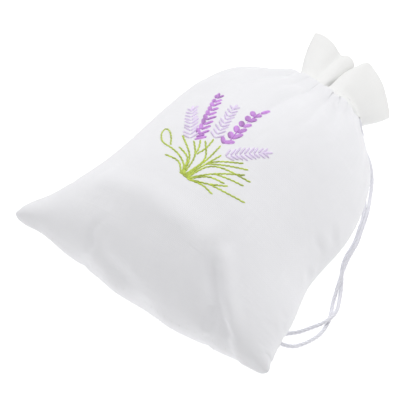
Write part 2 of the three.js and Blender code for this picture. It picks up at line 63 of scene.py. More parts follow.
# Form of the filled pouch
MIDDLE_Y = 50.0
END_ROUND = 34.0
SEAM_HEIGHT = 20.0
NECK_CENTRE = 19.0
LEFT_EAR_BLUNT = 2.0
RIGHT_EAR_BLUNT = 5.5
EAR_BLUNT_LENGTH = 14.0
EAR_BLUNT_POWER = 6
TABLE_ROUND = 2.5
TABLE_GAP = 0.05
GATHER_POWER = 2.6
DOME_POWER = 2.2
DOME_ROUND = 0.75
NECK_POWER = 8.0
NECK_ROUND = 0.5
NECK_BLEND_POWER = 4
FORM_SAMPLES = 401

# Cloth grid of one panel, and how the flat panels lie on each other: apart by a gap that closes at the seams
PANEL_COLUMNS = 72
PANEL_ROWS = 76
FLAT_GAP = 0.8
FLAT_GAP_SLOPE = 10
FLAT_GAP_ROWS = 3
FLAT_UNEVENNESS = 0.03
CLOTH_SEED = 3

# Simulation of the gathering and filling, on a model of 10 times the size
CLOTH_SCALE = 10.0
CLOTH_FRAMES = 50
GATHER_FRAMES = 24
CLOTH_CLEARANCE = 0.004
CLOTH_GRAVITY = 0.2
CLOTH_SETTINGS = {
    "quality": 6,
    "mass": 0.3,
    "tension_stiffness": 20,
    "compression_stiffness": 20,
    "shear_stiffness": 8,
    "bending_stiffness": 0.1,
    "tension_damping": 15,
    "compression_damping": 15,
    "shear_damping": 15,
    "bending_damping": 1,
    "air_damping": 3,
    "pin_stiffness": 1,
    "use_pressure": True,
    "uniform_pressure_force": 15,
}
FILL_REACH = 0.55
FILL_FALL_POWER = 0.8
NECK_PRESSURE = 0.1

# How much of the simulated creases stays when the cloth is drawn to the form
SMOOTHING_STEPS = 120
END_CREASING = 0.6
NECK_CREASING = 0.36
BACK_CREASING = 0.8
CREASING_ROWS = (10, 40)

# Heap of dried lavender, drawn in from the cloth towards its middle
FILL_SHARE = 0.88
FILL_MIDDLE = 0.45


class Fold(NamedTuple):
    """A fold that rises and fades along a line on the cloth, and may have a lesser one beside it."""

    line: tuple
    height: float
    width: float
    rise: float
    fade: float
    faded: float = 1.0
    beside_height: float = 0.0
    beside_width: float = 1.0
    beside_offset: float = 0.0


# Folds of the filled cloth
END_RIDGE = Fold(
    ((-33.0, 15.3, 35.9), (-11.6, 15.5, 46.8), (9.6, 14.3, 46.7), (20.1, 14.6, 43.8)),
    height=1.5, width=5.5, rise=0.15, fade=0.9)
END_VALLEY = Fold(
    ((-20.0, 3.0, 35.0), (-14.2, -1.9, 28.0), (-5.3, -2.6, 26.2), (3.8, -2.9, 24.7)),
    height=-1.0, width=3.5, rise=0.3, fade=0.7)
FLANK_WRINKLES = [
    Fold(
        line, height=-0.85, width=1.3, rise=0.4, fade=0.6,
        beside_height=0.4, beside_width=1.5, beside_offset=1.6)
    for line in (
        ((36.4, 53.6, 29.8), (37.9, 51.6, 27.0), (40.2, 49.2, 23.0)),
        ((34.9, 45.8, 32.2), (37.3, 44.6, 28.6), (40.0, 43.6, 23.8)),
        ((39.2, 36.9, 26.4), (41.6, 34.7, 21.5)),
    )
]
NECK_PLEAT = Fold(
    ((6.0, 97.0, 28.0), (10.6, 90.6, 36.0), (16.5, 86.9, 35.0)),
    height=-1.0, width=1.2, rise=0.0, fade=0.6,
    beside_height=0.5, beside_width=1.3, beside_offset=1.8)
FOLDS = (END_RIDGE, END_VALLEY, *FLANK_WRINKLES, NECK_PLEAT)

# The cloth puffs over the gathers of the neck, and the puff ends below the casing
NECK_PUFF = Fold(
    ((-17.0, 93.0, 27.0), (-8.0, 93.5, 31.5), (2.0, 94.0, 32.0), (9.0, 94.0, 30.0), (14.0, 95.0, 24.0)),
    height=3.6, width=5.0, rise=0.3, fade=0.8, faded=0.4)
NECK_PUFF_ENDS = (96.5, 99.0)

# The long fold to the right corner: a ridge, and beside it a valley that gets deeper and wider along it
CORNER_FOLD = (
    (18.6, 16.8, 45.3), (24.3, 10.5, 39.8), (29.3, 5.4, 33.9), (35.6, 1.9, 27.0), (39.5, -0.5, 21.2),
)
CORNER_RISE = 0.2
CORNER_FADE = 0.7
CORNER_FADED = 0.7
CORNER_RIDGE_HEIGHT = 1.3
CORNER_RIDGE_OFFSET = 2.0
CORNER_RIDGE_WIDTH = 2.2
CORNER_VALLEY_DEPTH = 2.8
CORNER_VALLEY_DEEPENS = (0.05, 0.4)
CORNER_VALLEY_OFFSET = 2.2
CORNER_VALLEY_WIDTH = 2.0
CORNER_VALLEY_SPREAD = 6.5

# Swellings and hollows round a point on the cloth, as place, height and reach
SWELLS = {
    "left ear tip": ((-51.0, 2.0, 19.5), 2.0, 7.0),
    "right ear tip": ((51.0, 3.0, 19.5), 0.4, 5.0),
    "left shoulder": ((-27.5, 78.8, 35.9), 1.5, 15.0),
    "left flank": ((-33.5, 27.0, 36.5), -1.3, 15.0),
    "right shoulder": ((22.0, 92.0, 24.0), -0.3, 8.0),
    "right flank": ((46.0, 18.0, 21.0), 2.7, 14.0),
    "right waist": ((41.5, 52.0, 22.0), 1.6, 12.0),
}

# Waves of the bottom seam, on the cloth that faces the bottom end
SEAM_WAVE_LENGTH = 23.0
SEAM_WAVE_CREST = -8.0
SEAM_WAVE_HEIGHT = 0.9
SEAM_WAVE_REACH = 32.0
SEAM_WAVE_DROP = 3.0
SEAM_WAVE_DEPTH = 5.0
SEAM_WAVE_FACING = (-0.2, -0.5)

# Casing rows above the pouch, as distance along the bag and growth of the neck's outline
CASING_ROWS = (
    (97.6, 0.9), (99.0, 0.985), (100.1, 0.96), (101.0, 1.02), (101.7, 1.04), (102.4, 1.02), (103.3, 0.95),
)
CASING_LOWER_STITCH = 2
CASING_UPPER_STITCH = 6
NECK_TUCK = 0.96
TUCKED_ROWS = 4
FRILL_BASE_Y = 105.2
FRILL_BASE_GROWTH = 0.9
FRILL_BASE_DROOP = 4.0
FRILL_DROOPS_X = (4.0, 12.0)
SLIT_POINT = 6
SLIT_DEPTH = 4.0

# Outline of the gathered neck, across and up: front from the left end to the right end, then the back
NECK_LOOP = (
    (-15.4, 19.4), (-13.4, 24.0), (-10.0, 25.8), (-6.6, 25.3), (-4.2, 26.5), (-2.3, 26.0),
    (-1.3, 25.2), (-0.3, 26.0), (2.2, 26.6), (6.8, 26.3), (11.4, 24.4), (14.4, 18.2),
    (12.0, 13.4), (6.6, 12.0), (0.6, 12.6), (-6.2, 11.6), (-12.4, 13.8),
)

# Mouth of the frill in the same order: the left lobe stands up, the right one droops
MOUTH_LOOP = (
    (-18.6, 120.0, 27.0), (-15.2, 120.9, 27.2), (-10.4, 120.7, 25.8), (-6.6, 120.1, 23.4),
    (-4.4, 121.0, 23.8), (-2.2, 121.4, 22.0), (-1.1, 121.0, 16.5), (0.5, 121.9, 21.6),
    (2.4, 122.8, 23.6), (7.0, 123.0, 20.6), (11.8, 121.6, 16.2), (16.8, 118.2, 7.6),
    (12.2, 119.8, 6.6), (7.0, 121.3, 11.4), (1.0, 121.4, 13.0), (-5.2, 121.0, 19.4),
    (-11.8, 120.6, 23.0),
)
LOOP_STEPS = 9
FRILL_ROWS = 16
FRILL_PUFF = 0.9
MOUTH_ROW = len(CASING_ROWS) + FRILL_ROWS
HEM_THICKNESS = 0.9
HEM_RISE = 0.25
FACING_ROWS = 7
FACING_END_Y = 107.0
FACING_END_SHARE = 0.9

# Drawstring: inside the casing, then free down to the table and under the right corner
CASING_MIDDLE = 101.7
CORD_OFFSET = 2.2
CORD_TURN_X = -7.7
CORD_EXIT_X = 12.0
FRONT_TAIL_ROUTE = (
    (14.4, 101.4, 20), (15.5, 100.9, 17.6), (16, 100.4, 14.9), (17.3, 99.6, 12.4), (19.6, 98.4, 10.9),
    (22.2, 97, 10), (24.8, 95.2, 8.3), (27.4, 92.6, 5.2), (29.8, 88.6, 3), (33, 82.3, 2.2),
    (35.8, 74.8, 2.1), (37.6, 69.6, 2.1), (38.7, 64.1, 2.1), (39.8, 60, 2.3), (41.1, 56.2, 2.5),
    (42.4, 52.7, 2.3), (43.6, 49.5, 1.6), (44.9, 46, 0.8), (46.7, 42.4, 0.7), (48.2, 39, 0.7),
    (49, 35.6, 0.7), (49.1, 32.7, 0.7), (48.3, 29.3, 0.7), (47, 26.2, 0.7), (45, 23.4, 0.7),
    (41.4, 21.2, 1.6), (39.6, 21, 2.2),
)
BACK_TAIL_ROUTE = (
    (14.4, 101.9, 15.8), (15.5, 102.2, 13.5), (15.9, 102, 10.8), (17, 101, 8.2), (19.2, 98.9, 6),
    (22, 96, 4), (25, 92.2, 2.2), (28.2, 87.6, 1.1), (31.6, 82.5, 0.7), (34.6, 75, 0.7),
    (36.4, 69.9, 0.7), (37.4, 64.3, 0.7), (38.6, 60.4, 0.7), (40.4, 57.1, 0.7), (42.5, 54.1, 0.7),
    (44.5, 50.9, 0.7), (46.4, 47.4, 1.2), (48.3, 43.5, 2.2), (48.9, 40.2, 2.7), (48.4, 37.4, 2.6),
    (47.3, 35.4, 1.8), (45.7, 33.4, 1), (43.2, 29.2, 0.7), (40.6, 25.8, 1.2), (39.2, 23.6, 1.9),
)
TAILS = {"front": (1, FRONT_TAIL_ROUTE), "back": (-1, BACK_TAIL_ROUTE)}
ROUTE_STEPS = 24
CORD_OPENING = 0.75
CORD_ROOM = 0.9
CORD_LEAVES_X = 14.7
CORD_PLIES = 3
CORD_SIDES = 18
CORD_STEP = 0.45
PLY_DEPTH = 0.14
# A direction that no cord starts in, to measure the twist from
TWIST_START = (0.3, 0.1, 1.0)
KNOT_PLACE = (37.4, 21.4, 2.4)
KNOT_STEPS = 120
KNOT_PATH_WIDTH = 7.6
KNOT_PATH_DEPTH = 1.35

# Embroidered stems as root, bend and tip on the front: a fan from a short bound foot, with side shoots
STEMS = (
    ((-4.2, 27.0), (-7.5, 30.0), (-13.5, 30.5)),
    ((-3.8, 27.0), (-6.0, 32.6), (-11.5, 35.2)),
    ((-3.4, 27.0), (-5.5, 33.0), (-14.0, 40.0)),
    ((-3.0, 26.9), (-4.6, 34.5), (-9.0, 39.6)),
    ((-5.0, 35.0), (-5.5, 37.5), (-7.4, 41.0)),
    ((-2.6, 26.9), (-1.2, 35.2), (-5.8, 41.5)),
    ((-4.6, 35.6), (-3.7, 39.0), (-4.0, 43.5)),
    ((-2.2, 26.8), (-0.6, 35.0), (-0.5, 42.6)),
    ((-1.9, 26.8), (0.6, 35.0), (2.0, 39.7)),
    ((-1.6, 26.7), (1.0, 35.2), (9.1, 42.0)),
    ((0.6, 34.4), (4.6, 37.0), (11.6, 41.2)),
    ((-1.3, 26.7), (2.2, 34.4), (14.7, 38.4)),
    ((-1.0, 26.6), (4.6, 32.6), (12.0, 39.0)),
    ((4.4, 32.6), (9.0, 34.2), (14.0, 35.7)),
    ((-0.6, 26.6), (4.2, 30.8), (9.2, 32.0)),
    ((-0.2, 26.5), (5.5, 28.6), (10.6, 32.0)),
    ((5.5, 28.7), (12.0, 30.0), (17.7, 31.6)),
    ((0.0, 26.4), (4.6, 27.2), (8.6, 26.6)),
)
STEM_FOOT = ((-4.6, 27.0), (-2.2, 26.6), (0.4, 26.2))
LOOPED_STEM = (
    (-4.0, 27.0), (-5.0, 29.5), (-9.0, 32.2), (-13.0, 33.6), (-18.0, 35.0), (-20.5, 37.0),
    (-22.5, 40.0), (-22.3, 41.6), (-20.0, 40.6), (-17.2, 38.0), (-14.8, 34.8),
)
STEM_STITCH = 1.5
STEM_LAP = 0.3
STEM_SLANT = 9.0
STEM_HEIGHT = 0.5
STEM_CURVE_STEPS = 12


class Petals(NamedTuple):
    """The petals on one side of a spike: length, width, angle to the spike and distance from it."""

    length: float
    width: float
    degrees: float
    gap: float = 0.0


class Spike(NamedTuple):
    """A flower spike: its node, its thread, its axis on the front, its petals and its single stitches."""

    node: str
    thread: str
    foot: tuple
    tip: tuple
    pairs: int
    left: Petals
    right: Petals
    singles: tuple


# Flower spikes, whose single stitches are given as start, end and width
SPIKES = (
    Spike(
        "vivid_spike_left", "purple", (-9.4, 42.8), (-15.6, 60.0), 9,
        Petals(3.0, 1.55, 27, 0.1), Petals(3.8, 1.1, 50),
        (((-9.4, 40.2), (-6.6, 43.2), 1.1), ((-9.6, 41.4), (-7.8, 43.6), 1.1),
         ((-15.6, 60.0), (-16.9, 62.8), 1.2))),
    Spike(
        "vivid_spike_right", "purple", (0.5, 47.0), (-0.1, 59.2), 5,
        Petals(3.1, 2.1, 41, 0.1), Petals(3.9, 1.6, 32, 0.1),
        (((-2.5, 46.0), (-0.2, 43.9), 1.6), ((-0.9, 44.2), (2.2, 46.6), 1.6),
         ((0.6, 62.2), (1.9, 65.8), 1.2), ((0.7, 45.0), (0.0, 52.0), 0.5), ((0.0, 52.0), (0.5, 62.0), 0.5))),
    Spike(
        "pale_spike_left", "lilac", (-10.8, 40.0), (-19.4, 51.6), 9,
        Petals(3.6, 0.8, 46), Petals(3.6, 0.8, 46), (((-19.4, 51.0), (-20.8, 54.0), 1.0),)),
    Spike(
        "pale_spike_middle", "lilac", (-4.0, 44.2), (-7.2, 57.6), 9,
        Petals(3.5, 0.8, 43), Petals(3.5, 0.8, 43), (((-7.2, 57.0), (-7.5, 60.4), 1.0),)),
    Spike(
        "pale_spike_right", "lilac", (3.2, 40.4), (11.2, 49.6), 9,
        Petals(3.5, 0.8, 46), Petals(3.5, 0.8, 46), (((10.8, 49.2), (13.4, 52.0), 1.0),)),
)
PETAL_HEIGHT = 0.5
PETAL_TAPER = 0.3
PETAL_SWAY = 6.0
PETAL_SPREAD = 0.1
PETAL_SEED = 5

# How much lighter and darker the strands of a thread are painted than its colour: painted sheen on the
# strands and painted shade between them
STEM_CONTRAST = 0.25
FLOWER_CONTRASTS = {"purple": 0.3, "lilac": 0.08}

# The pad of thread that every stitch is a copy of, and the strip of thread coordinates that each copy has
PAD_SEGMENTS = 10
PAD_RINGS = 6
PAD_FOOT = -0.1
PAD_BLUNTNESS = 0.7
PAD_DECIMALS = 4
STITCH_STRIP = 0.01
ABOVE_BAG = 200.0

# Sewing stitches of the casing and the seams
CASING_STITCH_SHARE = 0.72
CASING_STITCH_WIDTH = 0.3
CASING_STITCH_LIFT = 0.05
SEAM_STITCH_LENGTH = 0.8
SEAM_STITCH_WIDTH = 0.35
SEWING_HEIGHT = 0.08
SEAM_SAMPLES = 300
SEAM_TOP = 0.97
SEAM_BOTTOM = 0.985

# Camera of the photograph, for a square picture
CAMERA_AZIMUTH = 38.39
CAMERA_ELEVATION = 52.5
CAMERA_DISTANCE = 579.3
CAMERA_TARGET = (-2.94, 39.17, 20.0)
CAMERA_FOCAL_PIXELS = 1742.09
CAMERA_NEAR = 0.01
PICTURE_PIXELS = 416
SENSOR_WIDTH = 36.0

# Table, lamps as name, place, size and power, and the white all round
TABLE_SIZE = 6
LAMPS = (
    ("key_light", (0.05, 0.4, 1.1), 0.9, 8.5),
    ("fill_light", (-1.0, -0.3, 0.7), 0.9, 2.5),
)
WHITE = (1, 1, 1, 1)
SKY_STRENGTH = 0.42


def linear(hex_colour):
    """Turn an sRGB hex colour into linear red, green and blue."""
    channels = [int(hex_colour[start:start + 2], 16) / 255 for start in (1, 3, 5)]
    return tuple(c / 12.92 if c <= 0.04045 else ((c + 0.055) / 1.055) ** 2.4 for c in channels)


def lerp(low, high, share):
    """The value at that share of the way from low to high."""
    return low + (high - low) * share


def to_frame(points):
    """Bag millimetres to metres in the shared frame."""
    return np.asarray(points, float) * MM + np.array(BAG_ORIGIN)


class SachetSizes(bpy.types.PropertyGroup):
    """Sizes of the sachet that a user would change."""

    pouch_length: FloatProperty(
        name="Pouch length", description="Bottom seam to the neck", default=0.099, unit="LENGTH")
    corner_width: FloatProperty(
        name="Corner width", description="Between the tips of the two lower corners",
        default=PANEL_HIGH.x - PANEL_LOW.x, unit="LENGTH")
    middle_width: FloatProperty(
        name="Middle width", description="Across the filled middle, where the sides pull in", default=0.082,
        unit="LENGTH")
    neck_width: FloatProperty(
        name="Neck width", description="Across the gathered neck", default=0.031, unit="LENGTH")
    neck_depth: FloatProperty(
        name="Neck depth", description="Front to back of the gathered neck", default=0.015, unit="LENGTH")
    front_crown: FloatProperty(
        name="Front crown", description="How far the fill lifts the front above the seam", default=0.031,
        unit="LENGTH")
    back_crown: FloatProperty(
        name="Back crown", description="How far the fill pushes the back below the seam", default=0.025,
        unit="LENGTH")
    flat_width: FloatProperty(
        name="Cut width", description="Width of a panel before it was sewn", default=0.110, unit="LENGTH")
    flat_length: FloatProperty(
        name="Cut length", description="Length of a panel from the bottom seam to the gathers", default=0.121,
        unit="LENGTH")
    thread_pitch: FloatProperty(
        name="Weave pitch", description="Spacing of the cotton threads as drawn", default=0.00045,
        unit="LENGTH")
    cord_diameter: FloatProperty(
        name="Cord diameter", description="Thickness of the drawstring", default=0.0015, unit="LENGTH")
    cord_lay: FloatProperty(
        name="Cord lay", description="Length of cord in which a ply goes once round", default=0.0045,
        unit="LENGTH")
    knot_width: FloatProperty(
        name="Knot width", description="Width of the knot in the cord's ends", default=0.007, unit="LENGTH")
    fill: FloatProperty(
        name="Fill", description="How full the pouch is", default=0.85, min=0, max=1, subtype="FACTOR")
    stem_width: FloatProperty(
        name="Stem width", description="Width of a stem's stitches", default=0.00062, unit="LENGTH")
    stitch_pitch: FloatProperty(
        name="Stitch pitch", description="Spacing of the sewing stitches", default=0.0028, unit="LENGTH")


class SachetColours(bpy.types.PropertyGroup):
    """Colours of the sachet that a user would change."""

    cotton: FloatVectorProperty(
        name="Cotton", description="Cloth of the pouch", default=linear("#F1F1F4"), subtype="COLOR")
    # Painted light: the frill's cotton is a little lighter than the pouch's, standing in for the light that
    # shines through its single layer, since the cloth itself lets none through
    cotton_frill: FloatVectorProperty(
        name="Frill cotton", description="Cloth of the frill, a single layer that lets more light through",
        default=linear("#F4F4F3"), subtype="COLOR")
    cord: FloatVectorProperty(
        name="Cord", description="Drawstring", default=linear("#EFEFF5"), subtype="COLOR")
    sewing_thread: FloatVectorProperty(
        name="Sewing thread", description="Seams and casing", default=linear("#EFEFEF"), subtype="COLOR")
    stem_thread: FloatVectorProperty(
        name="Stem thread", description="Green of the stems", default=linear("#C4D657"), subtype="COLOR")
    purple_thread: FloatVectorProperty(
        name="Purple thread", description="Flowers in front", default=linear("#D496F0"), subtype="COLOR")
    lilac_thread: FloatVectorProperty(
        name="Lilac thread", description="Pale flowers behind", default=linear("#ECDDFC"), subtype="COLOR")
    dried_lavender: FloatVectorProperty(
        name="Dried lavender", description="Buds inside", default=linear("#6F6484"), subtype="COLOR")
    floor: FloatVectorProperty(
        name="Floor", description="Table under the sachet", default=linear("#FAFAFA"), subtype="COLOR")


# Materials


def add_node(tree, kind, inputs=None, **settings):
    """Add a node with its settings, and set or link its inputs."""
    node = tree.nodes.new(kind)
    for name, value in settings.items():
        setattr(node, name, value)
    for name, value in (inputs or {}).items():
        if isinstance(value, bpy.types.NodeSocket):
            tree.links.new(value, node.inputs[name])
        else:
            node.inputs[name].default_value = value
    return node


def new_material(name):
    """An empty material, and its node tree."""
    material = bpy.data.materials.new(name)
    material.use_nodes = True
    tree = material.node_tree
    tree.nodes.clear()
    return material, tree


def finish_material(tree, shader):
    """Link the shader to the material's output."""
    add_node(tree, "ShaderNodeOutputMaterial", {"Surface": shader.outputs[0]})


def shade_of(colour, factor):
    """A darker or lighter copy of a linear colour, as red, green, blue and alpha."""
    return (*(min(1.0, channel * factor) for channel in colour), 1.0)


def band_scale(pitch):
    """Scale of Blender's band texture for bands a pitch apart, since one band of it is pi / 10 long."""
    return math.pi / 10 / pitch


def plain_weave_cotton(name, colour, pitch):
    """Plain-weave cotton: matt, with a fine over-and-under grid, thicker slub threads and a soft rumple."""
    material, tree = new_material(name)
    cloth = add_node(tree, "ShaderNodeTexCoord").outputs["UV"]
    # The threads are drawn coarser than the real 0.3 mm, so that they show
    warp = add_node(
        tree, "ShaderNodeTexWave", {"Vector": cloth, "Scale": band_scale(pitch)}, bands_direction="X")
    weft = add_node(
        tree, "ShaderNodeTexWave", {"Vector": cloth, "Scale": band_scale(pitch)}, bands_direction="Y")
    over = add_node(tree, "ShaderNodeTexChecker", {"Vector": cloth, "Scale": 1 / pitch})
    weave = add_node(
        tree, "ShaderNodeMix", {0: over.outputs["Fac"], 2: warp.outputs["Fac"], 3: weft.outputs["Fac"]})
    # Slubs are stretches of thread some 17 mm long that stand a little thicker than the rest
    slubs_across = 1 / pitch / 1.5
    slubs_along = 60
    along = add_node(tree, "ShaderNodeMapping", {"Vector": cloth, "Scale": (slubs_across, slubs_along, 1)})
    slub_warp = add_node(tree, "ShaderNodeTexNoise", {"Vector": along.outputs[0], "Scale": 1, "Detail": 2})
    across = add_node(tree, "ShaderNodeMapping", {"Vector": cloth, "Scale": (slubs_along, slubs_across, 1)})
    slub_weft = add_node(tree, "ShaderNodeTexNoise", {"Vector": across.outputs[0], "Scale": 1, "Detail": 2})
    slubs = add_node(
        tree, "ShaderNodeMath", {0: slub_warp.outputs["Fac"], 1: slub_weft.outputs["Fac"]},
        operation="MULTIPLY")
    # The rumple of washed cotton, folds 5 mm apart
    rumple = add_node(
        tree, "ShaderNodeTexNoise", {"Vector": cloth, "Scale": 200, "Detail": 3, "Roughness": 0.5})
    # A faint unevenness of the bleached colour, in clouds some 17 mm across
    cloud = add_node(tree, "ShaderNodeTexNoise", {"Vector": cloth, "Scale": 60, "Detail": 3})
    tint = add_node(tree, "ShaderNodeValToRGB", {"Fac": cloud.outputs["Fac"]})
    tint.color_ramp.elements[0].position = 0.3
    tint.color_ramp.elements[0].color = shade_of(colour, 0.955)
    tint.color_ramp.elements[1].position = 0.7
    tint.color_ramp.elements[1].color = shade_of(colour, 1.0)
    threads = add_node(
        tree, "ShaderNodeMapRange", {"Value": slubs.outputs[0], "From Min": 0.12, "From Max": 0.4})
    colour_mix = add_node(
        tree, "ShaderNodeMix", {0: threads.outputs[0], 6: shade_of(colour, 0.97), 7: tint.outputs["Color"]},
        data_type="RGBA")
    rough = add_node(
        tree, "ShaderNodeMapRange", {"Value": weave.outputs[0], "To Min": 0.92, "To Max": 0.78})
    bump_rumple = add_node(
        tree, "ShaderNodeBump", {"Height": rumple.outputs["Fac"], "Strength": 0.35, "Distance": 0.0006})
    bump_slub = add_node(
        tree, "ShaderNodeBump",
        {"Height": slubs.outputs[0], "Strength": 0.25, "Distance": 0.0003, "Normal": bump_rumple.outputs[0]})
    bump = add_node(
        tree, "ShaderNodeBump",
        {"Height": weave.outputs[0], "Strength": 0.35, "Distance": 0.0001, "Normal": bump_slub.outputs[0]})
    shader = add_node(
        tree, "ShaderNodeBsdfPrincipled",
        {"Base Color": colour_mix.outputs[2], "Roughness": rough.outputs[0], "Normal": bump.outputs[0],
         "IOR": 1.46, "Specular IOR Level": 0.25, "Sheen Weight": 0.2, "Sheen Roughness": 0.5})
    finish_material(tree, shader)
    return material


def satin_thread(name, colour, contrast):
    """Rayon embroidery thread laid side by side: silky, with fine lines along each stitch, painted lighter on
    the strands for their sheen and darker between them for the shade.
    """
    material, tree = new_material(name)
    stitch = add_node(tree, "ShaderNodeTexCoord").outputs["UV"]
    # Strands 0.3 mm apart, coarser than the real 0.15 mm so that they show
    strands = add_node(
        tree, "ShaderNodeTexWave",
        {"Vector": stitch, "Scale": band_scale(0.3 * MM), "Distortion": 1.5, "Detail": 1},
        bands_direction="Y")
    # Fibres are some 3 mm long and 0.3 mm apart
    streaks = add_node(tree, "ShaderNodeMapping", {"Vector": stitch, "Scale": (300, 3000, 1)})
    fibre = add_node(tree, "ShaderNodeTexNoise", {"Vector": streaks.outputs[0], "Scale": 1, "Detail": 2})
    shade = add_node(
        tree, "ShaderNodeMath", {0: strands.outputs["Fac"], 1: fibre.outputs["Fac"]}, operation="MULTIPLY")
    # Painted sheen and shade: the strands are lighter where light catches them and darker in the grooves
    # between them, where shade falls
    tint = add_node(tree, "ShaderNodeValToRGB", {"Fac": shade.outputs[0]})
    tint.color_ramp.elements[0].color = shade_of(colour, 1 - 1.5 * contrast)
    tint.color_ramp.elements[1].position = 0.5
    tint.color_ramp.elements[1].color = shade_of(colour, 1 + contrast)
    # Each stitch has its own strip of coordinates, so one slow noise makes it lighter or darker as a whole
    strip = add_node(tree, "ShaderNodeMapping", {"Vector": stitch, "Scale": (0, 370, 0)})
    each = add_node(tree, "ShaderNodeTexNoise", {"Vector": strip.outputs[0], "Scale": 1, "Detail": 0})
    light = add_node(
        tree, "ShaderNodeMapRange",
        {"Value": each.outputs["Fac"], "From Min": 0.3, "From Max": 0.7,
         "To Min": 1 - contrast, "To Max": 1 + contrast})
    laid = add_node(
        tree, "ShaderNodeHueSaturation", {"Color": tint.outputs["Color"], "Value": light.outputs[0]})
    rough = add_node(
        tree, "ShaderNodeMapRange", {"Value": fibre.outputs["Fac"], "To Min": 0.36, "To Max": 0.52})
    bump = add_node(
        tree, "ShaderNodeBump", {"Height": strands.outputs["Fac"], "Strength": 0.5, "Distance": 0.00012})
    shader = add_node(
        tree, "ShaderNodeBsdfPrincipled",
        {"Base Color": laid.outputs["Color"], "Roughness": rough.outputs[0], "Normal": bump.outputs[0],
         "IOR": 1.5, "Sheen Weight": 0.3, "Sheen Roughness": 0.4})
    finish_material(tree, shader)
    return material


def spun_cotton(name, colour):
    """Spun cotton cord or sewing thread: matt twisted fibres with a little fuzz."""
    material, tree = new_material(name)
    strand = add_node(tree, "ShaderNodeTexCoord").outputs["UV"]
    # Fibres run along the strand, 0.2 mm apart
    turned = add_node(
        tree, "ShaderNodeMapping", {"Vector": strand, "Scale": (500, 5000, 1), "Rotation": (0, 0, 0.4)})
    fibre = add_node(tree, "ShaderNodeTexNoise", {"Vector": turned.outputs[0], "Scale": 1, "Detail": 3})
    tint = add_node(tree, "ShaderNodeValToRGB", {"Fac": fibre.outputs["Fac"]})
    tint.color_ramp.elements[0].position = 0.3
    tint.color_ramp.elements[0].color = shade_of(colour, 0.86)
    tint.color_ramp.elements[1].position = 0.65
    tint.color_ramp.elements[1].color = shade_of(colour, 1.0)
    rough = add_node(
        tree, "ShaderNodeMapRange", {"Value": fibre.outputs["Fac"], "To Min": 0.8, "To Max": 0.95})
    bump = add_node(
        tree, "ShaderNodeBump", {"Height": fibre.outputs["Fac"], "Strength": 0.5, "Distance": 0.0001})
    shader = add_node(
        tree, "ShaderNodeBsdfPrincipled",
        {"Base Color": tint.outputs["Color"], "Roughness": rough.outputs[0], "Normal": bump.outputs[0],
         "IOR": 1.46, "Specular IOR Level": 0.25, "Sheen Weight": 0.25, "Sheen Roughness": 0.5})
    finish_material(tree, shader)
    return material


def dried_buds(name, colour):
    """Dried lavender buds: a mottled heap of grey-violet grains 4 mm long with brownish calyxes."""
    material, tree = new_material(name)
    place = add_node(tree, "ShaderNodeTexCoord").outputs["Object"]
    grains = add_node(tree, "ShaderNodeTexVoronoi", {"Vector": place, "Scale": 1 / (4 * MM)})
    calyx = (*linear("#7A6A55"), 1.0)
    tint = add_node(
        tree, "ShaderNodeMix", {0: grains.outputs["Distance"], 6: shade_of(colour, 1.2), 7: calyx},
        data_type="RGBA")
    bump = add_node(
        tree, "ShaderNodeBump",
        {"Height": grains.outputs["Distance"], "Strength": 1.0, "Distance": 0.0015}, invert=True)
    rough = add_node(
        tree, "ShaderNodeMapRange", {"Value": grains.outputs["Distance"], "To Min": 0.8, "To Max": 0.95})
    shader = add_node(
        tree, "ShaderNodeBsdfPrincipled",
        {"Base Color": tint.outputs[2], "Roughness": rough.outputs[0], "Normal": bump.outputs[0]})
    finish_material(tree, shader)
    return material


def pale_table(name, colour):
    """White table lit from all round, as on a light table, so that it stays white under the sachet."""
    material, tree = new_material(name)
    place = add_node(tree, "ShaderNodeTexCoord").outputs["Object"]
    cloud = add_node(tree, "ShaderNodeTexNoise", {"Vector": place, "Scale": 3})
    rough = add_node(
        tree, "ShaderNodeMapRange", {"Value": cloud.outputs["Fac"], "To Min": 0.85, "To Max": 0.95})
    shader = add_node(
        tree, "ShaderNodeBsdfPrincipled",
        {"Base Color": (*colour, 1.0), "Roughness": rough.outputs[0], "Specular IOR Level": 0.0,
         "Emission Color": WHITE, "Emission Strength": 0.45})
    finish_material(tree, shader)
    return material


# Meshes


def new_piece(name, points, faces, uvs, material, body, slot):
    """A smooth mesh piece from bag points, with its material, on a body."""
    mesh = bpy.data.meshes.new(name)
    mesh.from_pydata(to_frame(points).tolist(), [], faces)
    if uvs is not None:
        layer = mesh.uv_layers.new(name="cloth")
        layer.data.foreach_set("uv", np.asarray(uvs, float).ravel())
    piece = bpy.data.objects.new(name, mesh)
    bpy.context.scene.collection.objects.link(piece)
    mesh.polygons.foreach_set("use_smooth", [True] * len(mesh.polygons))
    mesh.materials.append(material)
    mesh.validate()
    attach(piece, body)
    return piece


def only_select(piece):
    """Make a piece the one selected and active object."""
    bpy.ops.object.select_all(action="DESELECT")
    piece.select_set(True)
    bpy.context.view_layer.objects.active = piece


def subdivide_once(piece):
    """Round a piece off with one applied level of subdivision."""
    only_select(piece)
    rounding = piece.modifiers.new("rounding", "SUBSURF")
    rounding.levels = 1
    rounding.render_levels = 1
    bpy.ops.object.modifier_apply(modifier=rounding.name)


def run_along(points):
    """Distance along a line at each of its points."""
    return np.concatenate([[0], np.cumsum(np.linalg.norm(np.diff(points, axis=0), axis=1))])


def even_steps(points, count):
    """Points at even distances along a line, and their places in the list."""
    run = run_along(points)
    wanted = np.linspace(0, run[-1], count)
    even = np.stack([np.interp(wanted, run, points[:, axis]) for axis in range(points.shape[1])], -1)
    return even, np.interp(wanted, run, np.arange(len(run)))


def padded_ends(points, closed=False):
    """A line with one more point at each end: its other end if it is closed, or else one straight on."""
    if closed:
        return np.concatenate([points[-1:], points, points[:1]])
    return np.concatenate([2 * points[:1] - points[1:2], points, 2 * points[-1:] - points[-2:-1]])


def between(first, second, start, end, at):
    """The value at a place on a line that is first at the start and second at the end."""
    return lerp(first, second, (at - start) / (end - start))


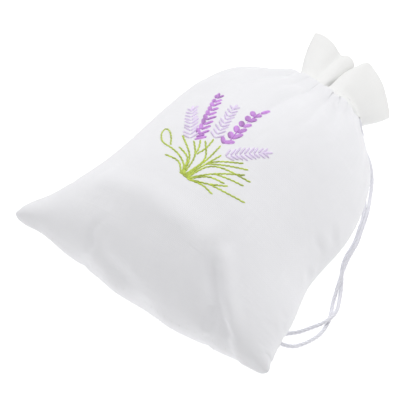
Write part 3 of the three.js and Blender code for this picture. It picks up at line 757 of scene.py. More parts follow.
def smooth_line(points, per_span, closed=False):
    """Centripetal Catmull-Rom curve through the points."""
    points = np.asarray(points, float)
    padded = padded_ends(points, closed)
    if closed:
        padded = np.concatenate([padded, points[1:2]])
    line = []
    for span in range(len(padded) - 3):
        near = padded[span:span + 4]
        steps = np.sqrt(np.linalg.norm(np.diff(near, axis=0), axis=1))
        knots = np.concatenate([[0], np.cumsum(steps)])
        for at in np.linspace(knots[1], knots[2], per_span, endpoint=False):
            straight = [between(near[i], near[i + 1], knots[i], knots[i + 1], at) for i in range(3)]
            bent = [between(straight[i], straight[i + 1], knots[i], knots[i + 2], at) for i in range(2)]
            line.append(between(bent[0], bent[1], knots[1], knots[2], at))
    if not closed:
        line.append(points[-1])
    return np.array(line)


def distance_to_line(points, normals, line):
    """Distance of surface points to a line on it, positive on its left, and the share of the way along it."""
    line = np.asarray(line, float)
    starts = run_along(line)
    best = np.full(len(points), np.inf)
    signed = np.zeros(len(points))
    share = np.zeros(len(points))
    for order, (start, end) in enumerate(zip(line[:-1], line[1:])):
        length = np.linalg.norm(end - start)
        along = (end - start) / length
        offset = points - start
        reach = np.clip(offset @ along, 0, length)
        gap = np.linalg.norm(offset - reach[:, None] * along, axis=1)
        side = np.sign((np.cross(normals, along) * offset).sum(1))
        near = gap < best
        best[near] = gap[near]
        signed[near] = (side * gap)[near]
        share[near] = ((starts[order] + reach) / starts[-1])[near]
    return signed, share


def smooth_step(low, high, value):
    """0 below low, 1 above high and a smooth rise between."""
    share = np.clip((value - low) / (high - low), 0, 1)
    return share * share * (3 - 2 * share)


def bell(offset, width):
    """Bell curve of height 1."""
    return np.exp(-(offset / width) ** 2)


# Pouch


class PouchForm:
    """The filled pouch as a formula: a pillow with pulled-in sides that tapers to the neck."""

    def __init__(self, sizes):
        self.length = sizes.pouch_length / MM
        self.corner = sizes.corner_width / 2 / MM
        self.middle = sizes.middle_width / 2 / MM
        self.neck_width = sizes.neck_width / 2 / MM
        self.neck_depth = sizes.neck_depth / 2 / MM
        self.crowns = {1: sizes.front_crown / MM, -1: sizes.back_crown / MM}

    def shoulder(self, y):
        return np.clip((y - MIDDLE_Y) / (self.length - MIDDLE_Y), 0, 1)

    def half_width(self, y):
        ears = (self.corner - self.middle) * np.maximum(0, 1 - y / MIDDLE_Y) ** 2
        return self.middle + ears + (self.neck_width - self.middle) * self.shoulder(y) ** GATHER_POWER

    def crown(self, side, y):
        rounded = np.sqrt(1 - np.maximum(0, 1 - y / END_ROUND) ** 2)
        return rounded * lerp(self.crowns[side], self.neck_depth, self.shoulder(y) ** GATHER_POWER)

    def section(self, across, y):
        gather = self.shoulder(y) ** NECK_BLEND_POWER
        power = lerp(DOME_POWER, NECK_POWER, gather)
        return np.maximum(0, 1 - np.abs(across) ** power) ** lerp(DOME_ROUND, NECK_ROUND, gather)

    def seam(self, y):
        return lerp(SEAM_HEIGHT, NECK_CENTRE, (y / self.length) ** 2)

    def surface(self, side, across, y):
        z = self.seam(y) + side * self.crown(side, y) * self.section(across, y)
        settled = np.maximum(0, z + TABLE_ROUND) ** 2 / (4 * TABLE_ROUND)
        bulge = BOTTOM_BULGE * (1 - across ** 2) * (1 - y / self.length) ** 3
        blunt = np.where(across > 0, RIGHT_EAR_BLUNT, LEFT_EAR_BLUNT) * np.abs(across) ** EAR_BLUNT_POWER
        blunt = blunt * np.maximum(0, 1 - y / EAR_BLUNT_LENGTH) ** 2
        height = np.where(z > TABLE_ROUND, z, settled)
        return np.stack([across * self.half_width(y), y - bulge + blunt, height], -1)

    def panel(self, side):
        """Grid of points of one panel, at even distances across and along the cloth."""
        y = self.length * np.linspace(0, 1, FORM_SAMPLES) ** 2
        _, places = even_steps(self.surface(1, np.zeros(FORM_SAMPLES), y), PANEL_ROWS + 1)
        rows = np.interp(places, np.arange(FORM_SAMPLES), y)
        across = -np.cos(np.linspace(0, math.pi, FORM_SAMPLES))
        lines = [self.surface(side, across, np.full(FORM_SAMPLES, row)) for row in rows]
        return np.array([even_steps(line, PANEL_COLUMNS + 1)[0] for line in lines])


class SewnPanels:
    """Two cloth panels sewn at the sides and the bottom, as one grid with the neck left open."""

    def __init__(self):
        self.index = {}
        self.faces = []
        self.face_cells = []
        for side in (1, -1):
            for row in range(PANEL_ROWS):
                for column in range(PANEL_COLUMNS):
                    cells = [(column, row), (column + 1, row), (column + 1, row + 1), (column, row + 1)]
                    cells = cells if side > 0 else cells[::-1]
                    self.faces.append([self.point(side, *cell) for cell in cells])
                    self.face_cells.append([(side, *cell) for cell in cells])
        self.neck = [place for (_, _, row), place in self.index.items() if row == PANEL_ROWS]

    def point(self, side, column, row):
        sewn = column in (0, PANEL_COLUMNS) or row == 0
        return self.index.setdefault((0 if sewn else side, column, row), len(self.index))

    def neck_ring(self):
        """Points round the open neck, in the order that faces out of the bag."""
        front = [self.point(1, column, PANEL_ROWS) for column in range(PANEL_COLUMNS + 1)]
        back = [self.point(-1, column, PANEL_ROWS) for column in range(PANEL_COLUMNS - 1, 0, -1)]
        return front[::-1] + back[::-1]

    def each(self, place):
        """Points from a function of side, column and row."""
        points = np.zeros((len(self.index), 3))
        for key, position in self.index.items():
            points[position] = place(*key)
        return points

    def uvs(self, width, length):
        """Cloth coordinates in metres, front and back side by side."""
        return [
            (column / PANEL_COLUMNS * width + (0 if side > 0 else 2 * width), row / PANEL_ROWS * length)
            for cells in self.face_cells
            for side, column, row in cells
        ]


def gather_and_fill(panels, flat, goal):
    """Draw the flat sewn panels in at the neck and fill them, by cloth simulation above the table."""
    scene = bpy.context.scene
    unit = CLOTH_SCALE * MM
    mesh = bpy.data.meshes.new("sewn_panels")
    mesh.from_pydata((flat * unit).tolist(), [], panels.faces)
    sewn = bpy.data.objects.new("sewn_panels", mesh)
    scene.collection.objects.link(sewn)
    sewn.shape_key_add(name="flat")
    drawn = sewn.shape_key_add(name="drawn in")
    for place in panels.neck:
        drawn.data[place].co = goal[place] * unit
    for moment, share in ((1, 0.0), (GATHER_FRAMES, 1.0)):
        drawn.value = share
        drawn.keyframe_insert("value", frame=moment)
    motion = mesh.shape_keys.animation_data.action
    pinned = sewn.vertex_groups.new(name="neck")
    pinned.add(panels.neck, 1.0, "REPLACE")
    filled = sewn.vertex_groups.new(name="fill")
    for (_, _, row), place in panels.index.items():
        above = max(0.0, row / PANEL_ROWS - FILL_REACH) / (1 - FILL_REACH)
        filled.add([place], max(NECK_PRESSURE, 1 - above ** FILL_FALL_POWER), "REPLACE")
    cloth = sewn.modifiers.new("cloth", "CLOTH")
    for name, value in CLOTH_SETTINGS.items():
        setattr(cloth.settings, name, value)
    cloth.settings.vertex_group_mass = pinned.name
    cloth.settings.vertex_group_pressure = filled.name
    cloth.settings.effector_weights.gravity = CLOTH_GRAVITY
    cloth.collision_settings.distance_min = CLOTH_CLEARANCE
    cloth.point_cache.frame_start = 1
    cloth.point_cache.frame_end = CLOTH_FRAMES + 2
    bpy.ops.object.select_all(action="DESELECT")
    bpy.ops.mesh.primitive_plane_add(size=TABLE_SIZE)
    table = bpy.context.object
    table.modifiers.new("table", "COLLISION")
    table.collision.thickness_outer = CLOTH_CLEARANCE
    for moment in range(1, CLOTH_FRAMES + 1):
        scene.frame_set(moment)
    seen = sewn.evaluated_get(bpy.context.evaluated_depsgraph_get())
    result = np.zeros(len(flat) * 3)
    seen.to_mesh().vertices.foreach_get("co", result)
    seen.to_mesh_clear()
    for helper in (sewn, table):
        data = helper.data
        bpy.data.objects.remove(helper)
        bpy.data.meshes.remove(data)
    bpy.data.actions.remove(motion)
    scene.frame_set(1)
    return result.reshape(-1, 3) / unit


def neighbour_mean(values, edges, degree):
    """Mean of each point's neighbours."""
    total = np.zeros_like(values)
    np.add.at(total, edges[:, 0], values[edges[:, 1]])
    np.add.at(total, edges[:, 1], values[edges[:, 0]])
    return total / degree


def drawn_to_form(points, goal, panels):
    """Move the simulated cloth to the pouch's form by a smooth shift, which keeps its folds and creases."""
    pairs = {tuple(sorted(pair)) for face in panels.faces for pair in zip(face, face[1:] + face[:1])}
    edges = np.array(sorted(pairs))
    degree = np.bincount(edges.ravel(), minlength=len(goal)).astype(float)[:, None]
    shift = goal - points
    for _ in range(SMOOTHING_STEPS):
        shift = (shift + neighbour_mean(shift, edges, degree)) / 2
        shift[panels.neck] = 0
    return points + shift


def point_normals(points, faces):
    """Outward direction at each point of a grid."""
    faces = np.array(faces)
    corners = points[faces]
    face_normals = np.cross(corners[:, 2] - corners[:, 0], corners[:, 3] - corners[:, 1])
    normals = np.zeros_like(points)
    for corner in range(4):
        np.add.at(normals, faces[:, corner], face_normals)
    return normals / np.linalg.norm(normals, axis=1)[:, None]


def along_fold(share, rise, fade, faded):
    """How much of a fold is there at a share of its line: it rises at the start and fades at the end."""
    risen = smooth_step(0.0, rise, share) if rise else 1.0
    return risen * (1 - faded * smooth_step(fade, 1.0, share))


def fold_lift(points, normals, fold):
    """How far a fold lifts each point of the cloth."""
    signed, share = distance_to_line(points, normals, fold.line)
    lift = fold.height * bell(signed, fold.width)
    lift = lift + fold.beside_height * bell(signed - fold.beside_offset, fold.beside_width)
    return lift * along_fold(share, fold.rise, fold.fade, fold.faded)


def corner_lift(points, normals):
    """How far the long fold to the right corner lifts each point of the cloth."""
    signed, share = distance_to_line(points, normals, CORNER_FOLD)
    ridge = CORNER_RIDGE_HEIGHT * bell(signed - CORNER_RIDGE_OFFSET, CORNER_RIDGE_WIDTH)
    beside = signed + CORNER_VALLEY_OFFSET
    width = CORNER_VALLEY_WIDTH + np.where(beside > 0, 0, CORNER_VALLEY_SPREAD * share)
    valley = CORNER_VALLEY_DEPTH * smooth_step(*CORNER_VALLEY_DEEPENS, share) * bell(beside, width)
    return (ridge - valley) * along_fold(share, CORNER_RISE, CORNER_FADE, CORNER_FADED)


def seam_wave_lift(points, normals):
    """How far the waves of the bottom seam lift each point of the cloth."""
    wave = SEAM_WAVE_HEIGHT * np.cos(2 * math.pi * (points[:, 0] - SEAM_WAVE_CREST) / SEAM_WAVE_LENGTH)
    across = bell(points[:, 0], SEAM_WAVE_REACH)
    up = bell(points[:, 2] - SEAM_HEIGHT + SEAM_WAVE_DROP, SEAM_WAVE_DEPTH)
    return wave * across * up * smooth_step(*SEAM_WAVE_FACING, normals[:, 1])


def press_folds(points, normals):
    """Press the folds of the filled cloth into it, and swell or hollow it where the fill does."""
    lift = corner_lift(points, normals) + seam_wave_lift(points, normals)
    for fold in FOLDS:
        lift = lift + fold_lift(points, normals, fold)
    below_casing = 1 - smooth_step(*NECK_PUFF_ENDS, points[:, 1])
    lift = lift + fold_lift(points, normals, NECK_PUFF) * below_casing
    for place, height, reach in SWELLS.values():
        lift = lift + height * bell(np.linalg.norm(points - np.array(place), axis=1), reach)
    return points + normals * lift[:, None]


def tuck_neck(points, rows):
    """Tuck the last rows of the cloth in under the lower edge of the casing."""
    centre = np.array((0.0, NECK_CENTRE))
    edge = centre + (smooth_line(NECK_LOOP, LOOP_STEPS, closed=True) - centre) * NECK_TUCK
    place = points[:, [0, 2]]
    nearest = edge[np.linalg.norm(place[:, None] - edge[None], axis=2).argmin(1)]
    share = smooth_step(PANEL_ROWS - TUCKED_ROWS, PANEL_ROWS, rows)
    tucked = points.copy()
    tucked[:, [0, 2]] = lerp(place, nearest, share[:, None])
    return tucked


class SACHET_OT_pouch(bpy.types.Operator):
    """Sew, gather and fill the cotton pouch"""

    bl_idname = "sachet.pouch"
    bl_label = "Pouch"

    def execute(self, context):
        sizes = context.scene.sachet_sizes
        form = PouchForm(sizes)
        panels = SewnPanels()
        grids = {side: form.panel(side) for side in (1, -1)}
        goal = panels.each(
            lambda side, column, row: grids[side][row, column] if side
            else (grids[1][row, column] + grids[-1][row, column]) / 2)
        cells = panels.each(lambda side, column, row: (side, column, row))
        width = sizes.flat_width / MM
        length = sizes.flat_length / MM
        chance = np.random.default_rng(CLOTH_SEED)

        def flat_place(side, column, row):
            across = 2 * column / PANEL_COLUMNS - 1
            apart = FLAT_GAP * min(1, (1 - abs(across)) * FLAT_GAP_SLOPE, row / FLAT_GAP_ROWS)
            lift = side * apart + abs(side) * chance.normal() * FLAT_UNEVENNESS
            return across * width / 2, form.length + length * (row / PANEL_ROWS - 1), SEAM_HEIGHT + lift

        points = goal
        filled = gather_and_fill(panels, panels.each(flat_place), goal)
        drawn = drawn_to_form(filled, goal, panels)
        front = lerp(END_CREASING, NECK_CREASING, smooth_step(*CREASING_ROWS, cells[:, 2]))
        creasing = np.where(cells[:, 0] < 0, BACK_CREASING, front)
        points = goal + (drawn - goal) * creasing[:, None]
        points = press_folds(points, point_normals(points, panels.faces))
        points = tuck_neck(points, cells[:, 2])
        points[:, 2] = np.maximum(points[:, 2], TABLE_GAP)
        cloth = plain_weave_cotton(
            "plain_weave_cotton", context.scene.sachet_colours.cotton, sizes.thread_pitch)
        pouch = new_piece(
            "pouch_cloth", points, panels.faces, panels.uvs(sizes.flat_width, sizes.flat_length), cloth,
            "pouch", "cotton")
        subdivide_once(pouch)
        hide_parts("front_panel", "back_panel")
        return {"FINISHED"}


# Frill


def loop_cells(rows, columns, skipped=()):
    """Corners of each cell of a grid of closed loops, as row and column, without the skipped cells."""
    return [
        ((row, column), (row, column + 1), (row + 1, column + 1), (row + 1, column))
        for row in range(rows - 1)
        for column in range(columns)
        if (row, column) not in skipped
    ]


def inward(loop):
    """Direction to the inside of a loop, square to it and to the bag's length."""
    along = np.roll(loop, -1, axis=0) - np.roll(loop, 1, axis=0)
    turned = np.stack([along[:, 2], np.zeros(len(loop)), -along[:, 0]], -1)
    return turned / np.maximum(np.linalg.norm(turned, axis=1), TINY)[:, None]


def frill_loops():
    """Rings of the casing and the frill, out to the mouth, over the hem and back in to the closed neck."""
    neck = np.array(NECK_LOOP)
    slit = neck.copy()
    slit[SLIT_POINT, 1] -= SLIT_DEPTH
    outlines = [(y, growth, neck) for y, growth in CASING_ROWS]
    outlines.append((FRILL_BASE_Y, FRILL_BASE_GROWTH, slit))
    rings = []
    for y, growth, loop in outlines:
        x = loop[:, 0] * growth
        z = NECK_CENTRE + (loop[:, 1] - NECK_CENTRE) * growth
        rings.append(smooth_line(np.stack([x, np.full(len(loop), y), z], -1), LOOP_STEPS, closed=True))
    base = rings[-1]
    base[:, 2] -= FRILL_BASE_DROOP * smooth_step(*FRILL_DROOPS_X, base[:, 0])
    mouth = smooth_line(MOUTH_LOOP, LOOP_STEPS, closed=True)
    for row in range(1, FRILL_ROWS + 1):
        share = row / FRILL_ROWS
        ring = lerp(base, mouth, share)
        rings.append(ring - FRILL_PUFF * math.sin(math.pi * share) * inward(ring))
    outer = rings[-1]
    inside = inward(outer)
    lining = outer + HEM_THICKNESS * inside
    rings.append((outer + lining) / 2 + np.array((0, HEM_RISE, 0)))
    closed_neck = base * np.array((FACING_END_SHARE, 0, 0)) + np.array((0, FACING_END_Y, NECK_CENTRE))
    for row in range(FACING_ROWS + 1):
        rings.append(lerp(lining, closed_neck, row / FACING_ROWS))
    return np.array(rings)


def press_in(rings, cords):
    """Press the casing in where the cord lies against its right end after leaving it."""
    free = cords[cords[:, 0] > CORD_LEAVES_X]
    casing = rings[:CASING_UPPER_STITCH + 2].reshape(-1, 3)
    nearest = free[np.linalg.norm(casing[:, None] - free[None], axis=2).argmin(1)]
    room = CORD_ROOM ** 2 - ((casing - nearest)[:, 1:] ** 2).sum(1)
    limit = nearest[:, 0] - np.sqrt(np.maximum(room, 0))
    casing[:, 0] = np.where(room > 0, np.minimum(casing[:, 0], limit), casing[:, 0])


class SACHET_OT_frill(bpy.types.Operator):
    """Gather the casing and open the frill above it"""

    bl_idname = "sachet.frill"
    bl_label = "Frill"

    def execute(self, context):
        rings = frill_loops()
        rows, columns = rings.shape[:2]
        # The casing has a snug opening for each end of the cord
        cords = np.concatenate([tail_line(side, route)[0] for side, route in TAILS.values()])
        press_in(rings, cords)
        skipped = set()
        for row in range(CASING_LOWER_STITCH, CASING_UPPER_STITCH):
            for column in np.flatnonzero(rings[row, :, 0] > CORD_EXIT_X):
                corners = rings[row:row + 2, [column, (column + 1) % columns]]
                gap = np.linalg.norm(cords - corners.mean((0, 1)), axis=1).min()
                if gap < CORD_OPENING:
                    skipped.add((row, int(column)))
        cells = loop_cells(rows, columns, skipped)
        faces = [[row * columns + column % columns for row, column in cell] for cell in cells]
        mouth = rings[MOUTH_ROW]
        around = run_along(np.concatenate([mouth, mouth[:1]]))
        up = np.concatenate([[0], np.cumsum(np.linalg.norm(np.diff(rings, axis=0), axis=2).mean(1))])
        uvs = [(around[column] * MM, up[row] * MM) for cell in cells for row, column in cell]
        cloth = plain_weave_cotton(
            "plain_weave_cotton_frill", context.scene.sachet_colours.cotton_frill,
            context.scene.sachet_sizes.thread_pitch)
        frill = new_piece("frill_cloth", rings.reshape(-1, 3), faces, uvs, cloth, "pouch", "cotton")
        subdivide_once(frill)
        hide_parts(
            "front_casing", "back_casing", "front_frill", "back_frill", "front_facing", "back_facing")
        return {"FINISHED"}


# Drawstring


def cord_mesh(line, diameter, lay, closed=False):
    """Points, faces and cloth coordinates of a cord of twisted plies along a line."""
    count = len(line)
    padded = padded_ends(line, closed)
    tangents = padded[2:] - padded[:-2]
    tangents = tangents / np.linalg.norm(tangents, axis=1)[:, None]
    first = np.cross(tangents[0], TWIST_START)
    normals = [first / np.linalg.norm(first)]
    for tangent in tangents[1:]:
        moved = normals[-1] - tangent * (normals[-1] @ tangent)
        normals.append(moved / np.linalg.norm(moved))
    normals = np.array(normals)
    binormals = np.cross(tangents, normals)
    drift = 0.0
    if closed:
        drift = math.atan2(normals[-1] @ binormals[0], normals[-1] @ normals[0])
    run = run_along(line)
    angles = 2 * math.pi * np.arange(CORD_SIDES) / CORD_SIDES
    radius = diameter / 2 * (1 - PLY_DEPTH + PLY_DEPTH * np.cos(CORD_PLIES * angles))
    turns = 2 * math.pi * run / lay - drift * np.arange(count) / count
    around = (angles[None, :] + turns[:, None])[..., None]
    out = np.cos(around) * normals[:, None, :] + np.sin(around) * binormals[:, None, :]
    rings = line[:, None, :] + radius[None, :, None] * out
    cells = loop_cells(count + 1 if closed else count, CORD_SIDES)
    faces = [[ring % count * CORD_SIDES + side % CORD_SIDES for ring, side in cell] for cell in cells]
    girth = math.pi * diameter
    uvs = [
        (run[min(ring, count - 1)] * MM, side / CORD_SIDES * girth * MM)
        for cell in cells
        for ring, side in cell
    ]
    if not closed:
        faces.append(list(range(CORD_SIDES))[::-1])
        faces.append([(count - 1) * CORD_SIDES + side for side in range(CORD_SIDES)])
        uvs.extend([(0, 0)] * 2 * CORD_SIDES)
    return rings.reshape(-1, 3), faces, uvs


def tail_line(side, route):
    """A drawstring tail from inside the casing along its route, in even short steps, and its length."""
    height = NECK_CENTRE + side * CORD_OFFSET
    inside = [(x, CASING_MIDDLE, height) for x in (CORD_TURN_X, (CORD_TURN_X + CORD_EXIT_X) / 2, CORD_EXIT_X)]
    line = smooth_line(inside + list(route), ROUTE_STEPS)
    length = run_along(line)[-1]
    return even_steps(line, int(length / CORD_STEP))[0], length


def knot_line(width):
    """The closed path of an overhand knot pulled up tight."""
    turn = np.linspace(0, 2 * math.pi, KNOT_STEPS, endpoint=False)
    x = np.sin(turn) + 2 * np.sin(2 * turn)
    y = np.cos(turn) - 2 * np.cos(2 * turn)
    z = -KNOT_PATH_DEPTH * np.sin(3 * turn)
    return np.stack([x, y, z], -1) * width / KNOT_PATH_WIDTH + np.array(KNOT_PLACE)


class SACHET_OT_drawstring(bpy.types.Operator):
    """Lay the two tails of the drawstring and knot their ends"""

    bl_idname = "sachet.drawstring"
    bl_label = "Drawstring"

    def execute(self, context):
        sizes = context.scene.sachet_sizes
        diameter = sizes.cord_diameter / MM
        lay = sizes.cord_lay / MM
        cotton = spun_cotton("twisted_cotton_cord", context.scene.sachet_colours.cord)
        knot_path = knot_line(sizes.knot_width / MM - diameter)
        knot = new_piece(
            "cord_knot", *cord_mesh(knot_path, diameter, lay, closed=True), cotton, "drawstring", "cord")
        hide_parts("end_knot")
        for name, (side, route) in TAILS.items():
            line, length = tail_line(side, route)
            tail = new_piece(
                f"{name}_cord_tail", *cord_mesh(line, diameter, lay), cotton, "drawstring", "cord")
            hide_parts(f"drawstring_tail_{name}")
        return {"FINISHED"}


# Stitches


def unit_stitch():
    """One satin stitch as a low rounded pad 2 long, 2 wide and 1 high, as points and faces."""
    bpy.ops.object.select_all(action="DESELECT")
    bpy.ops.mesh.primitive_uv_sphere_add(
        segments=PAD_SEGMENTS, ring_count=PAD_RINGS, radius=1, rotation=(0, math.pi / 2, 0))
    bpy.ops.object.transform_apply(rotation=True)
    pad = bpy.context.object
    bpy.ops.object.mode_set(mode="EDIT")
    bpy.ops.mesh.select_all(action="SELECT")
    bpy.ops.mesh.bisect(plane_co=(0, 0, PAD_FOOT), plane_no=(0, 0, -1), use_fill=True, clear_outer=True)
    bpy.ops.object.mode_set(mode="OBJECT")
    mesh = pad.data
    points = np.array([point.co[:] for point in mesh.vertices])
    points[:, 0] = np.sign(points[:, 0]) * np.abs(points[:, 0]) ** PAD_BLUNTNESS
    # The cut leaves points and faces in an order that changes from run to run, so both are sorted
    order = np.lexsort(np.round(points, PAD_DECIMALS).T)
    place = np.argsort(order).tolist()
    faces = []
    for face in mesh.polygons:
        corners = [place[corner] for corner in face.vertices]
        first = corners.index(min(corners))
        faces.append(corners[first:] + corners[:first])
    bpy.data.objects.remove(pad)
    bpy.data.meshes.remove(mesh)
    return points[order], sorted(faces)


def lay_stitches(name, places, material, slot):
    """One piece of stitches, each with its centre, direction, normal, length, width and height."""
    pad, pad_faces = unit_stitch()
    points = []
    faces = []
    uvs = []
    for order, (centre, along, normal, length, width, height) in enumerate(places):
        along = along - normal * (along @ normal)
        along = along / np.linalg.norm(along)
        across = np.cross(normal, along)
        sides = np.stack([along * length / 2, across * width / 2, normal * height])
        points.append(centre + pad @ sides)
        thread = pad[:, :2] * (length / 2 * MM, width / 2 * MM) + (0, order * STITCH_STRIP)
        for face in pad_faces:
            faces.append([len(pad) * order + corner for corner in face])
            uvs.extend(thread[face])
    return new_piece(name, np.concatenate(points), faces, uvs, material, "pouch", slot)


def on_front(x, y):
    """Point and normal of the pouch's front above a place on the bag, in bag millimetres."""
    pouch = bpy.data.objects["pouch_cloth"]
    above = Vector(to_frame((x, y, ABOVE_BAG)))
    found, place, normal, _ = pouch.ray_cast(above, Vector((0, 0, -1)))
    if not found:
        raise RuntimeError(f"No cloth under the stitch at {x:.1f}, {y:.1f}")
    return np.array((place - BAG_ORIGIN) / MM), np.array(normal)


def running_stitches(line, width):
    """Stem stitch along a line on the front: each stitch laps over the last, at a slant to the line."""
    count = max(1, round(run_along(line)[-1] / STEM_STITCH))
    spots = [on_front(*place) for place in even_steps(line, count + 1)[0]]
    slant = math.radians(STEM_SLANT)
    places = []
    for (low, normal), (high, _) in zip(spots[:-1], spots[1:]):
        along = (high - low) * math.cos(slant) + np.cross(normal, high - low) * math.sin(slant)
        length = np.linalg.norm(high - low) + STEM_LAP
        places.append(((low + high) / 2, along, normal, length, width, width * STEM_HEIGHT))
    return places


class SACHET_OT_stems(bpy.types.Operator):
    """Embroider the bunch of stems and the looped stem"""

    bl_idname = "sachet.stems"
    bl_label = "Stems"

    def execute(self, context):
        width = context.scene.sachet_sizes.stem_width / MM
        thread = satin_thread("green_satin_thread", context.scene.sachet_colours.stem_thread, STEM_CONTRAST)
        bunch = []
        for line in (*STEMS, STEM_FOOT):
            bunch.extend(running_stitches(smooth_line(line, STEM_CURVE_STEPS), width))
        stems = lay_stitches("stem_stitches", bunch, thread, "stem_thread")
        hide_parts("stem_bunch")
        loop = running_stitches(smooth_line(LOOPED_STEM, STEM_CURVE_STEPS), width)
        looped = lay_stitches("looped_stem_stitches", loop, thread, "stem_thread")
        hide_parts("looped_stem")
        return {"FINISHED"}


def spike_stitches(spike, chance):
    """Places of a spike's petals, in uneven pairs that get smaller to its tip, and of its single stitches."""
    foot = np.array(spike.foot)
    axis = np.array(spike.tip) - foot
    heading = math.atan2(axis[1], axis[0])
    strokes = []
    for pair in range(spike.pairs):
        share = pair / (spike.pairs - 1)
        root = foot + axis * share
        for side, petals in ((1, spike.left), (-1, spike.right)):
            angle = heading + side * math.radians(petals.degrees + chance.uniform(-PETAL_SWAY, PETAL_SWAY))
            out = np.array((math.cos(angle), math.sin(angle)))
            start = root + out * petals.gap
            length = petals.length * (1 - PETAL_TAPER * share)
            length = length * chance.uniform(1 - PETAL_SPREAD, 1 + PETAL_SPREAD)
            strokes.append((start, start + out * length, petals.width))
    places = []
    for start, end, width in (*strokes, *spike.singles):
        low, normal = on_front(*start)
        high, _ = on_front(*end)
        length = np.linalg.norm(high - low)
        places.append(((low + high) / 2, high - low, normal, length, width, PETAL_HEIGHT))
    return places


class SACHET_OT_flowers(bpy.types.Operator):
    """Embroider the five spikes of lavender in satin stitch"""

    bl_idname = "sachet.flowers"
    bl_label = "Flowers"

    def execute(self, context):
        colours = context.scene.sachet_colours
        threads = {
            "purple": satin_thread("purple_satin_thread", colours.purple_thread, FLOWER_CONTRASTS["purple"]),
            "lilac": satin_thread("lilac_satin_thread", colours.lilac_thread, FLOWER_CONTRASTS["lilac"]),
        }
        chance = np.random.default_rng(PETAL_SEED)
        for spike in SPIKES:
            places = spike_stitches(spike, chance)
            flower = lay_stitches(
                f"{spike.node}_petals", places, threads[spike.thread], f"{spike.thread}_thread")
            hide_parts(spike.node)
        return {"FINISHED"}


def casing_places(pitch):
    """Stitches along both edges of the casing."""
    rings = frill_loops()
    places = []
    for row in (CASING_LOWER_STITCH, CASING_UPPER_STITCH):
        ring = np.concatenate([rings[row], rings[row][:1]])
        outward = -inward(rings[row])
        even, at = even_steps(ring, int(run_along(ring)[-1] / pitch) + 1)
        for start, end, spot in zip(even[:-1], even[1:], at[:-1]):
            normal = outward[int(spot + 1) % len(outward)]
            middle = (start + end) / 2 + normal * CASING_STITCH_LIFT
            length = pitch * CASING_STITCH_SHARE
            places.append((middle, end - start, normal, length, CASING_STITCH_WIDTH, SEWING_HEIGHT))
    return places


def seam_places(sizes, pitch):
    """Small stitches across the closed edge at the sides and the bottom of the pouch."""
    form = PouchForm(sizes)
    pouch = bpy.data.objects["pouch_cloth"]
    y = np.linspace(SEAM_TOP * form.length, 0, SEAM_SAMPLES)
    edge = np.ones(SEAM_SAMPLES)
    left = form.surface(1, -edge, y)
    bottom = form.surface(1, np.linspace(-SEAM_BOTTOM, SEAM_BOTTOM, SEAM_SAMPLES), np.zeros(SEAM_SAMPLES))
    right = form.surface(1, edge, y[::-1])
    line = np.concatenate([left, bottom, right])
    even, _ = even_steps(line, int(run_along(line)[-1] / pitch))
    places = []
    for before, point, after in zip(even[:-2], even[1:-1], even[2:]):
        found, place, normal, _ = pouch.closest_point_on_mesh(Vector(to_frame(point)))
        if not found:
            raise RuntimeError("No cloth at the seam")
        normal = np.array(normal)
        middle = np.array((place - BAG_ORIGIN) / MM)
        across = np.cross(normal, after - before)
        places.append((middle, across, normal, SEAM_STITCH_LENGTH, SEAM_STITCH_WIDTH, SEWING_HEIGHT))
    return places


class SACHET_OT_stitching(bpy.types.Operator):
    """Sew the seams of the pouch and both edges of the casing"""

    bl_idname = "sachet.stitching"
    bl_label = "Stitching"

    def execute(self, context):
        sizes = context.scene.sachet_sizes
        pitch = sizes.stitch_pitch / MM
        thread = spun_cotton("cotton_sewing_thread", context.scene.sachet_colours.sewing_thread)
        casing = lay_stitches("casing_stitches", casing_places(pitch), thread, "sewing_thread")
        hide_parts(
            "front_lower_stitch", "front_upper_stitch", "back_lower_stitch", "back_upper_stitch")
        seams = lay_stitches("seam_stitches", seam_places(sizes, pitch), thread, "sewing_thread")
        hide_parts("left_seam_thread", "right_seam_thread", "bottom_seam_thread")
        return {"FINISHED"}


class SACHET_OT_inside(bpy.types.Operator):
    """Finish what lies inside: the dried lavender and the turn of the drawstring"""

    bl_idname = "sachet.inside"
    bl_label = "Inside"

    def execute(self, context):
        colours = context.scene.sachet_colours
        form = PouchForm(context.scene.sachet_sizes)
        panels = SewnPanels()
        grids = {side: form.panel(side) for side in (1, -1)}

        def heap_place(side, column, row):
            skin = grids[side or 1][row, column]
            middle = np.array((0, form.length * FILL_MIDDLE, SEAM_HEIGHT))
            return lerp(middle, skin, FILL_SHARE)

        heap = new_piece(
            "lavender_buds", panels.each(heap_place), panels.faces + [panels.neck_ring()], None,
            dried_buds("dried_lavender_buds", colours.dried_lavender), "pouch", "dried_lavender")
        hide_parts("lavender_fill")
        turn = bpy.data.objects["drawstring_turn"]
        turn.data.materials.clear()
        turn.data.materials.append(spun_cotton("cotton_cord_inside", colours.cord))
        return {"FINISHED"}


# Stage


def area_light(name, place, target, size, power):
    """A soft square lamp that points at the sachet."""
    bpy.ops.object.select_all(action="DESELECT")
    bpy.ops.object.light_add(type="AREA", location=place)
    lamp = bpy.context.object
    lamp.name = name
    lamp.data.size = size
    lamp.data.energy = power
    lamp.rotation_euler = (target - Vector(place)).to_track_quat("-Z", "Y").to_euler()


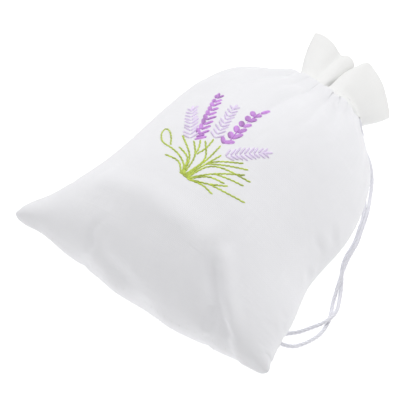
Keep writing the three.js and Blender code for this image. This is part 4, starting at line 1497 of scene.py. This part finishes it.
class SACHET_OT_stage(bpy.types.Operator):
    """Set up the table, the soft light and the camera of the photograph"""

    bl_idname = "sachet.stage"
    bl_label = "Stage"

    def execute(self, context):
        scene = context.scene
        bpy.ops.object.select_all(action="DESELECT")
        bpy.ops.mesh.primitive_plane_add(size=TABLE_SIZE)
        table = context.object
        table.name = "table"
        table.data.materials.append(pale_table("white_table", scene.sachet_colours.floor))
        target = Vector(to_frame(CAMERA_TARGET))
        azimuth = math.radians(CAMERA_AZIMUTH)
        elevation = math.radians(CAMERA_ELEVATION)
        level = math.cos(elevation)
        back = Vector((math.sin(azimuth) * level, -math.cos(azimuth) * level, math.sin(elevation)))
        bpy.ops.object.camera_add(location=target + back * CAMERA_DISTANCE * MM)
        camera = context.object
        camera.name = "photo_camera"
        camera.rotation_euler = back.to_track_quat("Z", "Y").to_euler()
        camera.data.sensor_width = SENSOR_WIDTH
        camera.data.lens = CAMERA_FOCAL_PIXELS / PICTURE_PIXELS * SENSOR_WIDTH
        camera.data.clip_start = CAMERA_NEAR
        scene.camera = camera
        for name, place, size, power in LAMPS:
            area_light(name, place, target, size, power)
        world = bpy.data.worlds.new("white_studio")
        world.use_nodes = True
        background = world.node_tree.nodes["Background"]
        background.inputs["Color"].default_value = WHITE
        background.inputs["Strength"].default_value = SKY_STRENGTH
        scene.world = world
        scene.view_settings.view_transform = "Standard"
        return {"FINISHED"}


class SACHET_PT_sidebar(bpy.types.Panel):
    """The sachet's pieces and sizes in the sidebar"""

    bl_label = "Lavender sachet"
    bl_idname = "SACHET_PT_sidebar"
    bl_space_type = "VIEW_3D"
    bl_region_type = "UI"
    bl_category = "Sachet"

    def draw(self, context):
        for operator in OPERATORS:
            self.layout.operator(operator.bl_idname)
        for group in (context.scene.sachet_sizes, context.scene.sachet_colours):
            column = self.layout.column()
            for name in group.__annotations__:
                column.prop(group, name)


OPERATORS = (
    SACHET_OT_stage, SACHET_OT_drawstring, SACHET_OT_pouch, SACHET_OT_frill, SACHET_OT_stitching,
    SACHET_OT_stems, SACHET_OT_flowers, SACHET_OT_inside,
)
CLASSES = (SachetSizes, SachetColours, *OPERATORS, SACHET_PT_sidebar)


def register():
    for kind in CLASSES:
        bpy.utils.register_class(kind)
    bpy.types.Scene.sachet_sizes = PointerProperty(type=SachetSizes)
    bpy.types.Scene.sachet_colours = PointerProperty(type=SachetColours)


def unregister():
    del bpy.types.Scene.sachet_colours
    del bpy.types.Scene.sachet_sizes
    for kind in reversed(CLASSES):
        bpy.utils.unregister_class(kind)


def main():
    register()
    bpy.ops.sachet.stage()
    bpy.ops.sachet.drawstring()
    bpy.ops.sachet.pouch()
    bpy.ops.sachet.frill()
    bpy.ops.sachet.stitching()
    bpy.ops.sachet.stems()
    bpy.ops.sachet.flowers()
    bpy.ops.sachet.inside()


if __name__ == "__main__":
    main()
